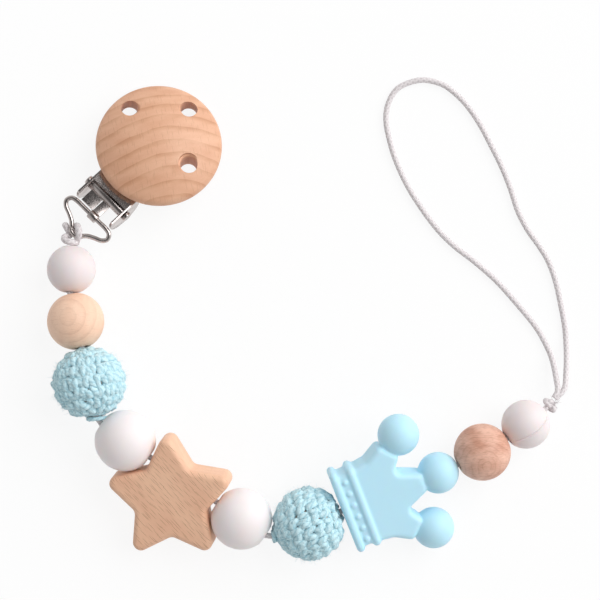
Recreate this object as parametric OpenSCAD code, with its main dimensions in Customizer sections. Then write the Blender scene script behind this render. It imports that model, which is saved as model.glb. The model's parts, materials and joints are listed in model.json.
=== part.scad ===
// Pacifier clip: a wooden clip disc with a steel clamp, a string of beads on a cord, and a loop of cord.
// Sizes are in millimetres. The string lies on the plane z = 0.
// +X runs to the right, +Y away from the reader and +Z up.

/* [Cord] */
// Diameter of the cord
cord_d = 1.4; // [1:0.1:1.8]
// Clearance around the cord in a bead's bore
cord_clearance = 0.5; // [0.2:0.05:0.8]
// Gap between two neighbouring beads
bead_gap = 0.15; // [0.1:0.05:0.4]
// Diameter of the knot at the clip
clip_knot_d = 2.2; // [2:0.1:3]
// Diameter of the knot at the loop
loop_knot_d = 4; // [3.2:0.1:5]

/* [Round beads] */
// Diameter of the small silicone beads
small_silicone_d = 12; // [10:0.5:14]
// Diameter of the large silicone beads
large_silicone_d = 15; // [13:0.5:17]
// Diameter of the wooden beads
wood_bead_d = 14; // [12:0.5:16]
// Length of a round bead along its bore, as a share of its diameter
length_share = 0.945; // [0.88:0.005:0.96]

/* [Crocheted beads] */
// Diameter over the crocheted cover
crochet_d = 17.8; // [16:0.2:20]
// Thickness of the crocheted cover
cover_t = 1.3; // [0.8:0.1:2]
// Gap between the cover and its wooden core
cover_gap = 0.05; // [0.03:0.01:0.1]

/* [Star] */
// Radius to the star's corners before they are rounded
star_point_r = 17.7; // [16:0.1:19]
// Radius to the star's notches before they are rounded
star_notch_r = 9.3; // [8.8:0.1:10]
// Thickness of the star
star_t = 8; // [7:0.5:10]
// Rounding of the star's tips
star_tip_round = 2; // [1.6:0.1:2.4]
// Rounding of the star's notches
star_notch_round = 2; // [1:0.1:3]
// Rounding of the star's edges
star_edge_round = 1.4; // [0.6:0.1:1.5]
// Distance from the star's middle to its bore
star_bore_offset = 5.3; // [4:0.1:5.6]

/* [Crown] */
// Diameter of the crown's balls
crown_ball_d = 10.2; // [9:0.2:11]
// Length from the crown's base to the middle ball's centre
crown_middle_l = 25.3; // [24:0.1:27]
// Length from the crown's base to the side balls' centres
crown_side_l = 19.5; // [18:0.1:21]
// Distance from the crown's axis to the side balls' centres
crown_side_w = 12.9; // [12:0.1:14]
// Thickness of the crown's body
crown_t = 7.4; // [6:0.2:8]
// Width of the two ridges on the crown's base
ridge_w = 21.6; // [20:0.2:23]
// Thickness of the two ridges, across the body
ridge_t = 8.8; // [8.4:0.2:10]

/* [Clip disc] */
// Diameter of the wooden disc
disc_d = 31; // [29:0.2:33]
// Height of the dome over the flat back
disc_h = 8.6; // [8:0.2:10]
// Rounding of the disc's rim
disc_rim_r = 2.2; // [1.6:0.1:2.6]
// Diameter of the vent holes
vent_d = 4.2; // [3.6:0.1:4.6]
// Distance from the disc's middle to a vent hole
vent_r = 10.3; // [9.6:0.1:11]

/* [Steel clamp] */
// Thickness of the sheet steel
sheet_t = 0.6; // [0.5:0.05:0.8]
// Width over the two ears
ears_w = 12; // [11:0.5:13]
// Radius of an ear about the pin
ear_r = 4.9; // [4.5:0.1:5]
// Diameter of the pin
pin_d = 1.6; // [1.4:0.1:1.8]
// Distance from the disc's rim to the pin
pin_beyond_rim = 2; // [1.2:0.1:2.4]
// Depth of the pin below the disc's back
pin_depth = 2.3; // [2.1:0.1:2.6]
// Running clearance on the pin and on the wire
run_clearance = 0.05; // [0.03:0.01:0.09]
// Width of the jaw plate
jaw_w = 9; // [7:0.5:9.4]
// Reach of the jaw past the disc's middle
jaw_reach = 1; // [0:0.5:3]

/* [Wire bail] */
// Diameter of the wire
wire_d = 1.2; // [1:0.1:1.3]
// Distance from the pin to the wire
wire_from_pin = 5.8; // [5.7:0.1:6.4]
// Angle by which the bail hangs below the lever
bail_drop = 25; // [15:1:35]

/* [Hidden] */
$fn = 64;
ball_fn = 48;
disc_fn = 96;
tube_sides = 8;
wire_sides = 12;
slack = 0.5;
cord_r = cord_d / 2;
wire_r = wire_d / 2;
bore_d = cord_d + 2 * cord_clearance;

// The string: its pieces in order, from the clip to the loop
SMALL_A = 0;
WOOD_A = 1;
CROCHET_A = 2;
LARGE_A = 3;
STAR = 4;
LARGE_B = 5;
CROCHET_B = 6;
CROWN = 7;
WOOD_B = 8;
SMALL_B = 9;
string_d = [small_silicone_d, wood_bead_d, crochet_d, large_silicone_d, 0,
            large_silicone_d, crochet_d, 0, wood_bead_d, small_silicone_d];
// Heading of each piece's bore in plan, and its rise, in degrees
heading = [-94, -76, -78, -34, -34, -34, 21, 21.5, 27, 38];
rise = [8, 8, 0, 0, 0, 0, 0, -1.5, -5, -5];
// Place of the first crocheted bead, which rests on the table and places the whole string
string_at = [-52.16, -15.02, crochet_d / 2];

function bore_axis(i) = [cos(heading[i]) * cos(rise[i]), sin(heading[i]) * cos(rise[i]), sin(rise[i])];

// Angle between the bores of piece i and the next one
function turn_after(i) = acos(min(1, bore_axis(i) * bore_axis(i + 1)));

// Furthest point of a round bead along a line at an angle from its bore
function bead_reach(d, angle) =
    cos(angle) > length_share
        ? d / 2 * (length_share * cos(angle) + sqrt(1 - length_share * length_share) * sin(angle))
        : d / 2;

// Distance from a round bead's middle to the bend in the cord, with half a gap left there
function bead_end(d, angle) = (bead_reach(d, angle) + bead_gap / 2) / cos(angle);

// Distance from a piece's middle back to the bend before it
function lead(i) =
    i == STAR ? star_seat - bead_end(large_silicone_d, 0)
    : i == CROWN ? bead_gap / 2
    : bead_end(string_d[i], i == SMALL_A ? 0 : turn_after(i - 1) / 2);

// Distance from a piece's middle on to the bend after it
function trail(i) =
    i == STAR ? star_seat - bead_end(large_silicone_d, 0)
    : i == CROWN ? crown_middle_l + (crown_ball_d / 2 + bead_gap / 2) / cos(turn_after(i) / 2)
    : i == CROCHET_B ? bead_end(crochet_d, turn_after(i))
    : bead_end(string_d[i], i == SMALL_B ? 0 : turn_after(i) / 2);

// Middle of a piece; the crown's is the middle of its base
function place(i) =
    i == CROCHET_A ? string_at
    : i > CROCHET_A ? place(i - 1) + trail(i - 1) * bore_axis(i - 1) + lead(i) * bore_axis(i)
    : place(i + 1) - lead(i + 1) * bore_axis(i + 1) - trail(i) * bore_axis(i);

// The star: its tips and notches, with the bore along its own x
star_angle = 36;
star_first_tip = 54;
star_first_notch = star_first_tip - star_angle;
star_corners = [for (k = [0 : 9])
    let (tip = k % 2 == 1, angle = star_first_notch + k * star_angle, r = tip ? star_point_r : star_notch_r)
    [r * cos(angle), r * sin(angle), tip ? star_tip_round : star_notch_round]];
notch_point = [star_corners[0].x, star_corners[0].y];
upper_point = [star_corners[1].x, star_corners[1].y];
lower_point = [star_corners[9].x, star_corners[9].y];

// Where along the bore a round bead meets the notch's wall that ends at a star point
function wall_seat(point, side) =
    let (along = (point - notch_point) / norm(point - notch_point),
         out = side * [along.y, -along.x],
         keep = large_silicone_d / 2 + bead_gap)
    notch_point.x + (keep - (star_bore_offset - notch_point.y) * out.y) / out.x;

star_seat = max(wall_seat(upper_point, 1), wall_seat(lower_point, -1));
string_start = place(SMALL_A) - lead(SMALL_A) * bore_axis(SMALL_A);
string_end = place(SMALL_B) + trail(SMALL_B) * bore_axis(SMALL_B);

// The star leans on one tip
star_tip_half = atan(star_notch_r * sin(star_angle) / (star_point_r - star_notch_r * cos(star_angle)));
star_tip_r = star_point_r - star_tip_round * (1 / sin(star_tip_half) - 1);
star_lever = star_tip_r + star_bore_offset - star_edge_round / 2;
star_roll = asin(place(STAR).z / norm([star_lever, star_t / 2])) - atan(star_t / 2 / star_lever);

// The crown: it leans on one side ball
crown_roll = asin((place(CROWN).z + crown_side_l * sin(rise[CROWN]) - crown_ball_d / 2) / crown_side_w);
ridge_l = 2;
ridge_step = 4.2;
ridge_corner_r = 2;
pearl_d = 1.8;
pearl_count = 6;
pearl_step = 3.1;
crown_corner_round = 1;
crown_half = [[0.6, 9.6], [5.4, 9.8], [9.5, 10.4], [crown_side_l - 5.6, crown_side_w + 0.1],
              [crown_side_l - 1.8, crown_side_w - 4.2], [15, 5], [crown_middle_l - 3.9, 2.2]];
crown_corners = concat(
    [for (p = crown_half) [p.x, p.y, crown_corner_round]],
    [for (k = [len(crown_half) - 1 : -1 : 0]) [crown_half[k].x, -crown_half[k].y, crown_corner_round]]);

// The clip: its own x runs towards the bail, y along the pin, z out of the dome; z = 0 is the disc's back
clip_turn = [8, -14, 224];
disc_r = disc_d / 2;
pin_at = [disc_r + pin_beyond_rim, 0, -pin_depth];
wire_at = pin_at + [wire_from_pin, 0, 0];
pin_head_over = 0.9;
pin_head_d = pin_d + pin_head_over;
pin_head_l = 0.9;
ear_gap = 0.15;
// Wall of the lever's two barrels, rolled on the pin and on the wire
barrel_t = 0.5;
hub_r = pin_d / 2 + run_clearance + barrel_t;
knuckle_r = wire_r + run_clearance + barrel_t;
// The plate stops short of the pin and runs on past the jaw's end
plate_short = 0.5;
plate_past_jaw = 1;
plate_end = pin_at.x - plate_short;
plate_start = -jaw_reach - plate_past_jaw;
ear_l = 5;
ear_root = plate_end - ear_l;
screw_d = 1.6;
screw_head_d = 2.8;
screw_l = 5;
screw_at = [[7, -3.4], [7, 3.4]];
screw_gap = 0.03;
jaw_gap = 0.1;
jaw_plate_depth = pin_depth;
pad_l = 9;
ridge_count = 5;
pad_ridge_h = 0.7;
tab_v = [-4.3, -0.6];
hook_v = [-0.3, 2];
tab_end_gap = 0.4;
bail_shift = 0.2;
// Half of the bail's centre line: across, and away from the straight wire
bail_half = [[0, 0], [2.6, 0], [5, 0], [6.5, 0.4], [7.1, 1.7], [6.2, 2.9], [4.4, 3.7], [2.9, 4.5], [2, 5.3],
             [1.6, 5.9], [1, 6.5], [0, 6.7]];
bail_line = concat(
    bail_half,
    [for (k = [len(bail_half) - 2 : -1 : 1]) [-bail_half[k].x, bail_half[k].y]]);
bail_neck = bail_half[len(bail_half) - 1].y;
knot_turn_r = wire_r + run_clearance + cord_r;
knot_reach = clip_knot_d + wire_r + 2 * run_clearance;
// The knot holds the bail's neck a little above the first bead's bore
neck_lift = 1.12;
neck_at = string_start - knot_reach * bore_axis(SMALL_A) + [0, 0, neck_lift];

// The loop of cord: its route from the knot's middle; the two ends meet the knot's surface
loop_knot_at = string_end + loop_knot_d / 2 * bore_axis(SMALL_B);
loop_lift = 0.12;
table_z = cord_r + loop_lift - loop_knot_at.z;
loop_route = [
    [1.9, 3.4, -0.6], [1.8, 6, -2.2], [1.2, 10, -3.8], [0.1, 13.5, table_z], [-2.8, 18.8, table_z],
    [-7.5, 24.6, table_z], [-12.7, 30.4, table_z], [-18, 35.1, table_z], [-23.3, 39.2, table_z],
    [-27.4, 43.3, table_z], [-31.4, 48.6, table_z], [-35, 54.4, table_z], [-37.9, 60.8, table_z],
    [-39.6, 66.7, table_z], [-40.2, 70.8, table_z], [-39.6, 74.6, table_z], [-37.6, 78, table_z],
    [-34.3, 79.8, table_z], [-30.6, 80.4, table_z], [-26.2, 79.3, table_z], [-22.7, 76.8, table_z],
    [-19.8, 73.7, table_z], [-16.8, 69.3, table_z], [-13.9, 63.8, table_z], [-11.3, 58.5, table_z],
    [-9.2, 53.2, table_z], [-7.5, 48, table_z], [-5.1, 43.3, table_z], [-2.2, 39.2, table_z],
    [0.1, 35.4, table_z], [1.9, 30.5, table_z], [3.1, 25.2, table_z], [4.1, 19.9, table_z],
    [4.5, 15.8, table_z], [4.5, 11.7, -3.8], [4.2, 7.8, -2.4], [3.6, 4, -0.9]];
function unit(v) = v / norm(v);
function from_knot(p) = loop_knot_at + p;
loop_path = concat(
    [from_knot(unit(loop_route[0]) * loop_knot_d / 2)],
    [for (p = loop_route) from_knot(p)],
    [from_knot(unit(loop_route[len(loop_route) - 1]) * loop_knot_d / 2)]);

// Outlines and sweeps

// Points of a polygon with every corner [x, y, radius] rounded, moved inwards by inset
function rounded(corners, inset, steps = 6) = [for (k = [0 : len(corners) - 1])
    let (n = len(corners),
         here = [corners[k].x, corners[k].y],
         before = [corners[(k + n - 1) % n].x, corners[(k + n - 1) % n].y],
         after = [corners[(k + 1) % n].x, corners[(k + 1) % n].y],
         come = unit(here - before),
         go = unit(after - here),
         bend = atan2(come.x * go.y - come.y * go.x, come * go),
         side = sign(bend),
         middle = here + side * corners[k][2] * ([-come.y, come.x] + tan(abs(bend) / 2) * -side * come),
         r = corners[k][2] - side * inset,
         start = atan2(come.y, come.x) - side * 90)
    for (s = [0 : steps]) middle + r * [cos(start + bend * s / steps), sin(start + bend * s / steps)]];

// A smooth line through points, with extra points between them; a closed one runs round
function between(points, k, closed) =
    let (n = len(points))
    closed ? points[(k + n) % n] : points[max(0, min(n - 1, k))];
function smooth(points, steps, closed = false) = [for (k = [0 : len(points) - (closed ? 1 : 2)])
    let (a = between(points, k - 1, closed),
         b = points[k],
         c = between(points, k + 1, closed),
         d = between(points, k + 2, closed))
    for (s = [0 : steps - 1])
        let (t = s / steps)
        b + t * ((c - a) / 2 + t * (a - 2.5 * b + 2 * c - d / 2 + t * ((d - a) / 2 + 1.5 * (b - c))))];

// Directions across a line at point k: one level, one upright to it
function line_way(path, k, closed) = unit(between(path, k + 1, closed) - between(path, k - 1, closed));
function level_side(way) = unit([-way.y, way.x, 0]);

// Ring of a tube at a point, square to the way the line runs there
function ring(at, way, r, sides) =
    let (across = level_side(way), up = cross(way, across))
    [for (s = [0 : sides - 1]) at + r * (cos(360 * s / sides) * across + sin(360 * s / sides) * up)];

// Mean of a list of points
function mean(points) = [for (k = [1 : len(points)]) 1] * points / len(points);

// A closed skin over rings of equal length; the rings run round when closed, or else end in flat caps
module skin(rings, closed = false) {
    sides = len(rings[0]);
    count = len(rings);
    links = closed ? count : count - 1;
    first = count * sides;
    walls = [for (k = [0 : links - 1], s = [0 : sides - 1])
        let (a = k * sides, b = ((k + 1) % count) * sides, t = (s + 1) % sides)
        each [[a + s, b + s, b + t], [a + s, b + t, a + t]]];
    caps = [for (s = [0 : sides - 1])
        let (t = (s + 1) % sides, end = (count - 1) * sides)
        each [[first, s, t], [first + 1, end + t, end + s]]];
    middles = [mean(rings[0]), mean(rings[count - 1])];
    skin_points = [for (r = rings) each r];
    all_points = closed ? skin_points : concat(skin_points, middles);
    all_faces = closed ? walls : concat(walls, caps);
    polyhedron(all_points, all_faces, convexity = 8);
}

module tube(path, r, sides) {
    skin([for (k = [0 : len(path) - 1]) ring(path[k], line_way(path, k, false), r, sides)]);
}

// A flat piece with rounded edges, its middle plane at z = 0
module pebble(corners, t, edge, steps = 4) {
    turns = [for (s = [0 : steps]) 90 * s / steps];
    upper = [for (a = turns) [edge * (1 - sin(a)), t / 2 - edge * (1 - cos(a))]];
    lower = [for (k = [len(upper) - 1 : -1 : 0]) [upper[k][0], -upper[k][1]]];
    skin([for (level = concat(upper, lower))
        let (outline = rounded(corners, level[0]))
        [for (k = [len(outline) - 1 : -1 : 0]) [outline[k].x, outline[k].y, level[1]]]]);
}

// Puts a piece on the string: its own x runs along its bore
module on_string(i) {
    translate(place(i)) rotate([0, -rise[i], heading[i]]) children();
}

module bore(l) {
    rotate([0, 90, 0]) cylinder(d = bore_d, h = l, center = true);
}

// Half section of a ball with flats across its bore
module flat_ball(d, share) {
    intersection() {
        circle(d = d);
        translate([bore_d / 2, -d * share / 2]) square([d / 2, d * share]);
    }
}

// Turns a half section about the bore
module turned_bead() {
    rotate([0, 90, 0]) rotate_extrude() children();
}

module round_bead(d) {
    turned_bead() flat_ball(d, length_share);
}

// Silicone and wooden beads

module silicone_bead_1() {
    color([0.93, 0.89, 0.89]) on_string(SMALL_A) round_bead(small_silicone_d);
}

module silicone_bead_2() {
    color([0.97, 0.94, 0.94]) on_string(LARGE_A) round_bead(large_silicone_d);
}

module silicone_bead_3() {
    color([0.97, 0.94, 0.94]) on_string(LARGE_B) round_bead(large_silicone_d);
}

module silicone_bead_4() {
    color([0.93, 0.89, 0.89]) on_string(SMALL_B) round_bead(small_silicone_d);
}

module wood_bead_1() {
    color([0.93, 0.75, 0.62]) on_string(WOOD_A) round_bead(wood_bead_d);
}

module wood_bead_2() {
    color([0.83, 0.64, 0.54]) on_string(WOOD_B) round_bead(wood_bead_d);
}

// Crocheted beads

core_d = crochet_d - 2 * cover_t - 2 * cover_gap;
core_share = (crochet_d * length_share - 2 * cover_t - 2 * cover_gap) / core_d;
hollow_d = core_d + 2 * cover_gap;
hollow_share = (core_d * core_share + 2 * cover_gap) / hollow_d;

module crochet_core() {
    turned_bead() flat_ball(core_d, core_share);
}

module crochet_cover() {
    turned_bead() difference() {
        flat_ball(crochet_d, length_share);
        flat_ball(hollow_d, hollow_share);
    }
}

module crochet_core_1() {
    color([0.86, 0.68, 0.55]) on_string(CROCHET_A) crochet_core();
}

module crochet_core_2() {
    color([0.86, 0.68, 0.55]) on_string(CROCHET_B) crochet_core();
}

module crochet_cover_1() {
    color([0.7, 0.86, 0.91]) on_string(CROCHET_A) crochet_cover();
}

module crochet_cover_2() {
    color([0.7, 0.86, 0.91]) on_string(CROCHET_B) crochet_cover();
}

// Star and crown

module wood_star() {
    color([0.85, 0.67, 0.56]) on_string(STAR) rotate([star_roll, 0, 0]) difference() {
        translate([0, -star_bore_offset, 0]) pebble(star_corners, star_t, star_edge_round);
        bore(2 * star_point_r);
    }
}

module crown_body() {
    linear_extrude(crown_t, center = true) polygon(rounded(crown_corners, 0));
}

module crown_ridge() {
    flat = [ridge_w - 2 * ridge_corner_r, ridge_t - 2 * ridge_corner_r];
    rotate([90, 0, 90]) linear_extrude(ridge_l) union() {
        square([flat.x, ridge_t], center = true);
        square([ridge_w, flat.y], center = true);
        for (x = [-1, 1], y = [-1, 1])
            translate([x * flat.x / 2, y * flat.y / 2]) circle(ridge_corner_r);
    }
}

module crown_pearls() {
    for (k = [0 : pearl_count - 1], side = [-1, 1])
        translate([(ridge_l + ridge_step) / 2, (k - (pearl_count - 1) / 2) * pearl_step, side * crown_t / 2])
            sphere(d = pearl_d, $fn = ball_fn);
}

module crown_balls() {
    translate([crown_middle_l, 0, 0]) rotate([0, 0, 90]) sphere(d = crown_ball_d, $fn = ball_fn);
    for (side = [-1, 1]) translate([crown_side_l, side * crown_side_w, 0]) rotate([0, 0, side * 90])
        sphere(d = crown_ball_d, $fn = ball_fn);
}

module crown() {
    color([0.74, 0.9, 0.98]) on_string(CROWN) rotate([crown_roll, 0, 0]) difference() {
        union() {
            crown_body();
            crown_ridge();
            translate([ridge_step, 0, 0]) crown_ridge();
            crown_pearls();
            crown_balls();
        }
        bore(3 * crown_middle_l);
    }
}

// Cords and knots

// The cord bends only between the pieces, and its ends sit in the knots
cord_tuck = 1;
cord_path = concat(
    [string_start - cord_tuck * bore_axis(SMALL_A)],
    [for (i = [SMALL_A : SMALL_B]) place(i) - lead(i) * bore_axis(i)],
    [string_end + cord_tuck * bore_axis(SMALL_B)]);

module bead_cord() {
    color([0.78, 0.75, 0.76]) tube(cord_path, cord_r, tube_sides);
}

// A hole in a knot for the end of the bead cord, from a point along piece i's bore (way 1) or back (-1)
module cord_socket(at, i, way) {
    depth = cord_tuck + run_clearance;
    translate(at) rotate([0, -rise[i], heading[i]]) rotate([0, way * 90, 0])
        translate([0, 0, -slack]) cylinder(r = cord_r + run_clearance, h = depth + slack);
}

module clip_knot() {
    color([0.8, 0.77, 0.78]) difference() {
        union() {
            translate(string_start - clip_knot_d / 2 * bore_axis(SMALL_A))
                sphere(d = clip_knot_d, $fn = ball_fn);
            translate(neck_at) rotate(clip_turn) rotate([90, 0, 0]) rotate_extrude()
                translate([knot_turn_r, 0]) circle(cord_r);
        }
        cord_socket(string_start, SMALL_A, -1);
    }
}

module loop_knot() {
    color([0.8, 0.77, 0.78]) difference() {
        translate(loop_knot_at) sphere(d = loop_knot_d, $fn = ball_fn);
        cord_socket(string_end, SMALL_B, 1);
    }
}

module cord_loop() {
    color([0.78, 0.75, 0.76]) tube(smooth(loop_path, 2), cord_r, tube_sides);
}

// Clip

// The clip's place follows from the bail's neck
function turn_x(v, a) = [v.x, v.y * cos(a) - v.z * sin(a), v.y * sin(a) + v.z * cos(a)];
function turn_y(v, a) = [v.x * cos(a) + v.z * sin(a), v.y, v.z * cos(a) - v.x * sin(a)];
function turn_z(v, a) = [v.x * cos(a) - v.y * sin(a), v.x * sin(a) + v.y * cos(a), v.z];
function turned(v) = turn_z(turn_y(turn_x(v, clip_turn.x), clip_turn.y), clip_turn.z);
neck_in_clip = wire_at + [bail_neck * cos(bail_drop), bail_shift, -bail_neck * sin(bail_drop)];
clip_at = neck_at - turned(neck_in_clip);

module on_clip() {
    translate(clip_at) rotate(clip_turn) children();
}

// A cylinder along the clip's y between two values of y
module across(at, r, from, to) {
    translate([at.x, from, at.z]) rotate([-90, 0, 0]) cylinder(r = r, h = to - from);
}

// The dome's arc meets the rim's arc smoothly
rim_middle = [disc_r - disc_rim_r, disc_rim_r];
dome_rise = disc_h - 2 * disc_rim_r;
dome_r = (rim_middle.x * rim_middle.x + dome_rise * dome_rise) / (2 * dome_rise) + disc_rim_r;
dome_meets = asin(rim_middle.x / (dome_r - disc_rim_r));
arc_steps = 12;
vent_angles = [90, 180, 270];
// The vents' circle stands off the disc's middle, away from the bail
vent_shift = [-0.8, -0.8];
disc_profile = concat(
    [[0, 0]],
    [for (s = [0 : arc_steps]) let (a = -90 + (180 - dome_meets) * s / arc_steps)
        rim_middle + disc_rim_r * [cos(a), sin(a)]],
    [for (s = [1 : arc_steps - 1]) let (a = dome_meets * (1 - s / arc_steps))
        [dome_r * sin(a), disc_h - dome_r + dome_r * cos(a)]],
    [[0, disc_h]]);

module screw_holes(gap) {
    for (p = screw_at) translate([p.x, p.y, -sheet_t]) {
        cylinder(d1 = screw_head_d + 2 * gap, d2 = screw_d + 2 * gap, h = sheet_t);
        cylinder(d = screw_d + 2 * gap, h = screw_l + gap);
    }
}

module wood_disc() {
    color([0.86, 0.67, 0.55]) on_clip() difference() {
        rotate_extrude($fn = disc_fn) polygon(disc_profile);
        translate(vent_shift) for (a = vent_angles) rotate([0, 0, a]) translate([vent_r, 0, -slack])
            cylinder(d = vent_d, h = disc_h + 2 * slack);
        screw_holes(screw_gap);
    }
}

module clip_screws() {
    color([0.7, 0.7, 0.7]) on_clip() screw_holes(0);
}

module ear(from) {
    below = 2 * ear_r + pin_depth;
    root_h = pin_depth + sheet_t;
    difference() {
        union() {
            intersection() {
                across(pin_at, ear_r, from, from + sheet_t);
                translate([0, -ears_w, -below]) cube([2 * disc_d, 2 * ears_w, below]);
            }
            translate([ear_root, from, -root_h]) cube([pin_at.x - ear_root, sheet_t, root_h]);
        }
        across(pin_at, pin_d / 2 + run_clearance, from - slack, from + sheet_t + slack);
    }
}

module clip_body() {
    color([0.6, 0.56, 0.55]) on_clip() difference() {
        union() {
            translate([plate_start, -ears_w / 2, -sheet_t]) cube([plate_end - plate_start, ears_w, sheet_t]);
            ear(-ears_w / 2);
            ear(ears_w / 2 - sheet_t);
        }
        screw_holes(screw_gap);
    }
}

module lever_pin() {
    shaft_end = ears_w / 2 + ear_gap / 2;
    color([0.62, 0.6, 0.6]) on_clip() union() {
        across(pin_at, pin_d / 2, -shaft_end, shaft_end);
        across(pin_at, pin_head_d / 2, shaft_end, shaft_end + pin_head_l);
        across(pin_at, pin_head_d / 2, -shaft_end - pin_head_l, -shaft_end);
    }
}

// Lever: hub barrel on the pin, finger tab and hook towards the bail, jaw plate under the disc
hub_half = ears_w / 2 - sheet_t - ear_gap;
module lever() {
    tab = [wire_from_pin - wire_r - tab_end_gap, tab_v[1] - tab_v[0], sheet_t];
    hook = [wire_from_pin, hook_v[1] - hook_v[0], sheet_t];
    color([0.34, 0.31, 0.31]) on_clip() difference() {
        union() {
            across(pin_at, hub_r, -hub_half, hub_half);
            translate(pin_at + [0, tab_v[0], -sheet_t / 2]) cube(tab);
            translate(pin_at + [0, hook_v[0], -sheet_t / 2]) cube(hook);
            across(wire_at, knuckle_r, hook_v[0], hook_v[1]);
            translate([-jaw_reach, -jaw_w / 2, -jaw_plate_depth - sheet_t])
                cube([pin_at.x + jaw_reach, jaw_w, sheet_t]);
        }
        across(pin_at, pin_d / 2 + run_clearance, -ears_w, ears_w);
        across(wire_at, wire_r + run_clearance, -ears_w, ears_w);
    }
}

module jaw_pad() {
    pad_top = -sheet_t - jaw_gap;
    pad_h = jaw_plate_depth + pad_top;
    pad_step = pad_l / ridge_count;
    color([0.9, 0.9, 0.9]) on_clip() translate([-jaw_reach, -jaw_w / 2, -jaw_plate_depth]) union() {
        cube([pad_l, jaw_w, pad_h - pad_ridge_h]);
        for (k = [0 : ridge_count - 1]) translate([(k + 1 / 4) * pad_step, 0, 0])
            cube([pad_step / 2, jaw_w, pad_h]);
    }
}

module wire_bail() {
    line = [for (p = smooth(bail_line, 3, true)) [p.y, p.x, 0]];
    rings = [for (k = [0 : len(line) - 1])
        let (way = line_way(line, k, true), side = [-way.y, way.x, 0])
        [for (s = [0 : wire_sides - 1])
            line[k] + wire_r * (cos(360 * s / wire_sides) * side + [0, 0, sin(360 * s / wire_sides)])]];
    color([0.66, 0.64, 0.63]) on_clip() translate(wire_at + [0, bail_shift, 0]) rotate([0, bail_drop, 0])
        skin(rings, true);
}

// Parts

wood_disc();
clip_body();
clip_screws();
lever_pin();
lever();
jaw_pad();
wire_bail();
clip_knot();
bead_cord();
silicone_bead_1();
wood_bead_1();
crochet_core_1();
crochet_cover_1();
silicone_bead_2();
wood_star();
silicone_bead_3();
crochet_core_2();
crochet_cover_2();
crown();
wood_bead_2();
silicone_bead_4();
loop_knot();
cord_loop();
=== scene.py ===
"""Looks of a pacifier clip: beads, wood, steel, cotton and cord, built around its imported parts.

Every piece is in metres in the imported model's own frame: +Z is up from the table on which the string lies.
"""

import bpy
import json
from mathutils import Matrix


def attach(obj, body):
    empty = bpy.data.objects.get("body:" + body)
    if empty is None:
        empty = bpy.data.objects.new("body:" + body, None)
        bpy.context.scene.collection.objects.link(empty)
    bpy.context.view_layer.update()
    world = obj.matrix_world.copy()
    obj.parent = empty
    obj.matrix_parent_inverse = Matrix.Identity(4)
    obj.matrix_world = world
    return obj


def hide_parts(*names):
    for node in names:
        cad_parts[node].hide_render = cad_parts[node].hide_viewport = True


bl_info = {
    "name": "Pacifier clip",
    "version": (1, 0, 0),
    "blender": (4, 5, 0),
    "location": "View3D > Sidebar > Pacifier clip",
    "description": "Builds the beads, the clip, the cords and the stage of a pacifier clip",
    "category": "Object",
}

import json
import math
from typing import NamedTuple

import bmesh
import bpy
import numpy as np
from mathutils import Euler, Matrix

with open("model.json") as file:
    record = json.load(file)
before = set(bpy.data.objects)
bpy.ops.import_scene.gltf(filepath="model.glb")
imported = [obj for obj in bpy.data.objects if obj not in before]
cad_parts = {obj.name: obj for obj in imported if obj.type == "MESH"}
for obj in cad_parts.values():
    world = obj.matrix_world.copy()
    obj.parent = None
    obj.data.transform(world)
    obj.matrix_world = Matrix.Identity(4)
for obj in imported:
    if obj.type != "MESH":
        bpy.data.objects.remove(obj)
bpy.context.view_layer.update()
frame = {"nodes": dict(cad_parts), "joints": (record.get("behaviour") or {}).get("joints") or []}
JOINTS = {joint["name"]: joint for joint in frame["joints"]}
MM = 0.001
TURN = 2 * math.pi
QUARTER = math.pi / 2
UPWARDS = np.array([0.0, 0.0, 1.0])
AT_ORIGIN = np.zeros(3), np.eye(3)
# Distance between the crests of a wave texture of scale 1
WAVE_LENGTH = TURN / 20

# Sizes that the pieces share with the CAD parts, in metres, and angles in radians
BORE_R = 1.2 * MM
LENGTH_SHARE = 0.945
SMALL_SILICONE_D = 12 * MM
LARGE_SILICONE_D = 15 * MM
WOOD_BEAD_D = 14 * MM
DISC_R = 15.5 * MM
DISC_H = 8.6 * MM
DISC_RIM_R = 2.2 * MM
VENT_D = 4.2 * MM
VENT_R = 10.3 * MM
PIN_BEYOND_RIM = 2.0 * MM
PIN_DEPTH = 2.3 * MM
WIRE_R = 0.6 * MM
BAIL_SHIFT = 0.2 * MM
BAIL_DROP = math.radians(25)
STAR_ROLL = math.radians(14.5)
STAR_T = 8 * MM
STAR_EDGE_ROUND = 1.4 * MM
STAR_BORE_OFFSET = 5.3 * MM
CROWN_ROLL = math.radians(14.76)
CROWN_BALL_D = 10.2 * MM
CROWN_MIDDLE_L = 25.3 * MM
CROWN_SIDE_L = 19.5 * MM
CROWN_SIDE_W = 12.9 * MM
CROWN_T = 7.4 * MM

# How finely the meshes are made; angles are in degrees
MERGE = 1e-7
PARALLEL = 1e-9
BEAD_SIDES = 96
MOULDED_SIDES = 384
DISC_SIDES = 192
BALL_SIDES = 64
PEARL_SIDES = 24
WIRE_SIDES = 24
CUTTER_SIDES = 48
CORD_SIDES = 16
YARN_SIDES = 12
FIBRE_SIDES = 3
FIBRE_STEPS = 6
LATITUDES = 81
PROFILE_POINTS = 160
EDGE_STEPS = 7
CORNER_STEPS = 8
RIM_STEPS = 24
DOME_STEPS = 40
FLARE_STEPS = 8
LOOP_STEPS = 8
HITCH_STEPS = 10
KNOT_POINTS = 200
BAIL_STEPS = 16
YARN_STEPS = 8
CLOSING_STEPS = 24
CORD_STEP = 0.14 * MM
YARN_STEP = 0.38 * MM
CROWN_VOXEL = 0.24 * MM
BEVEL_SEGMENTS = 3
FLAT_DEGREES = 1
SHARP_DEGREES = 35
VENT_SHARP_DEGREES = 40
# How many times its piece's reach a bore's cutter is long
BORE_CUT = 4

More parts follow.
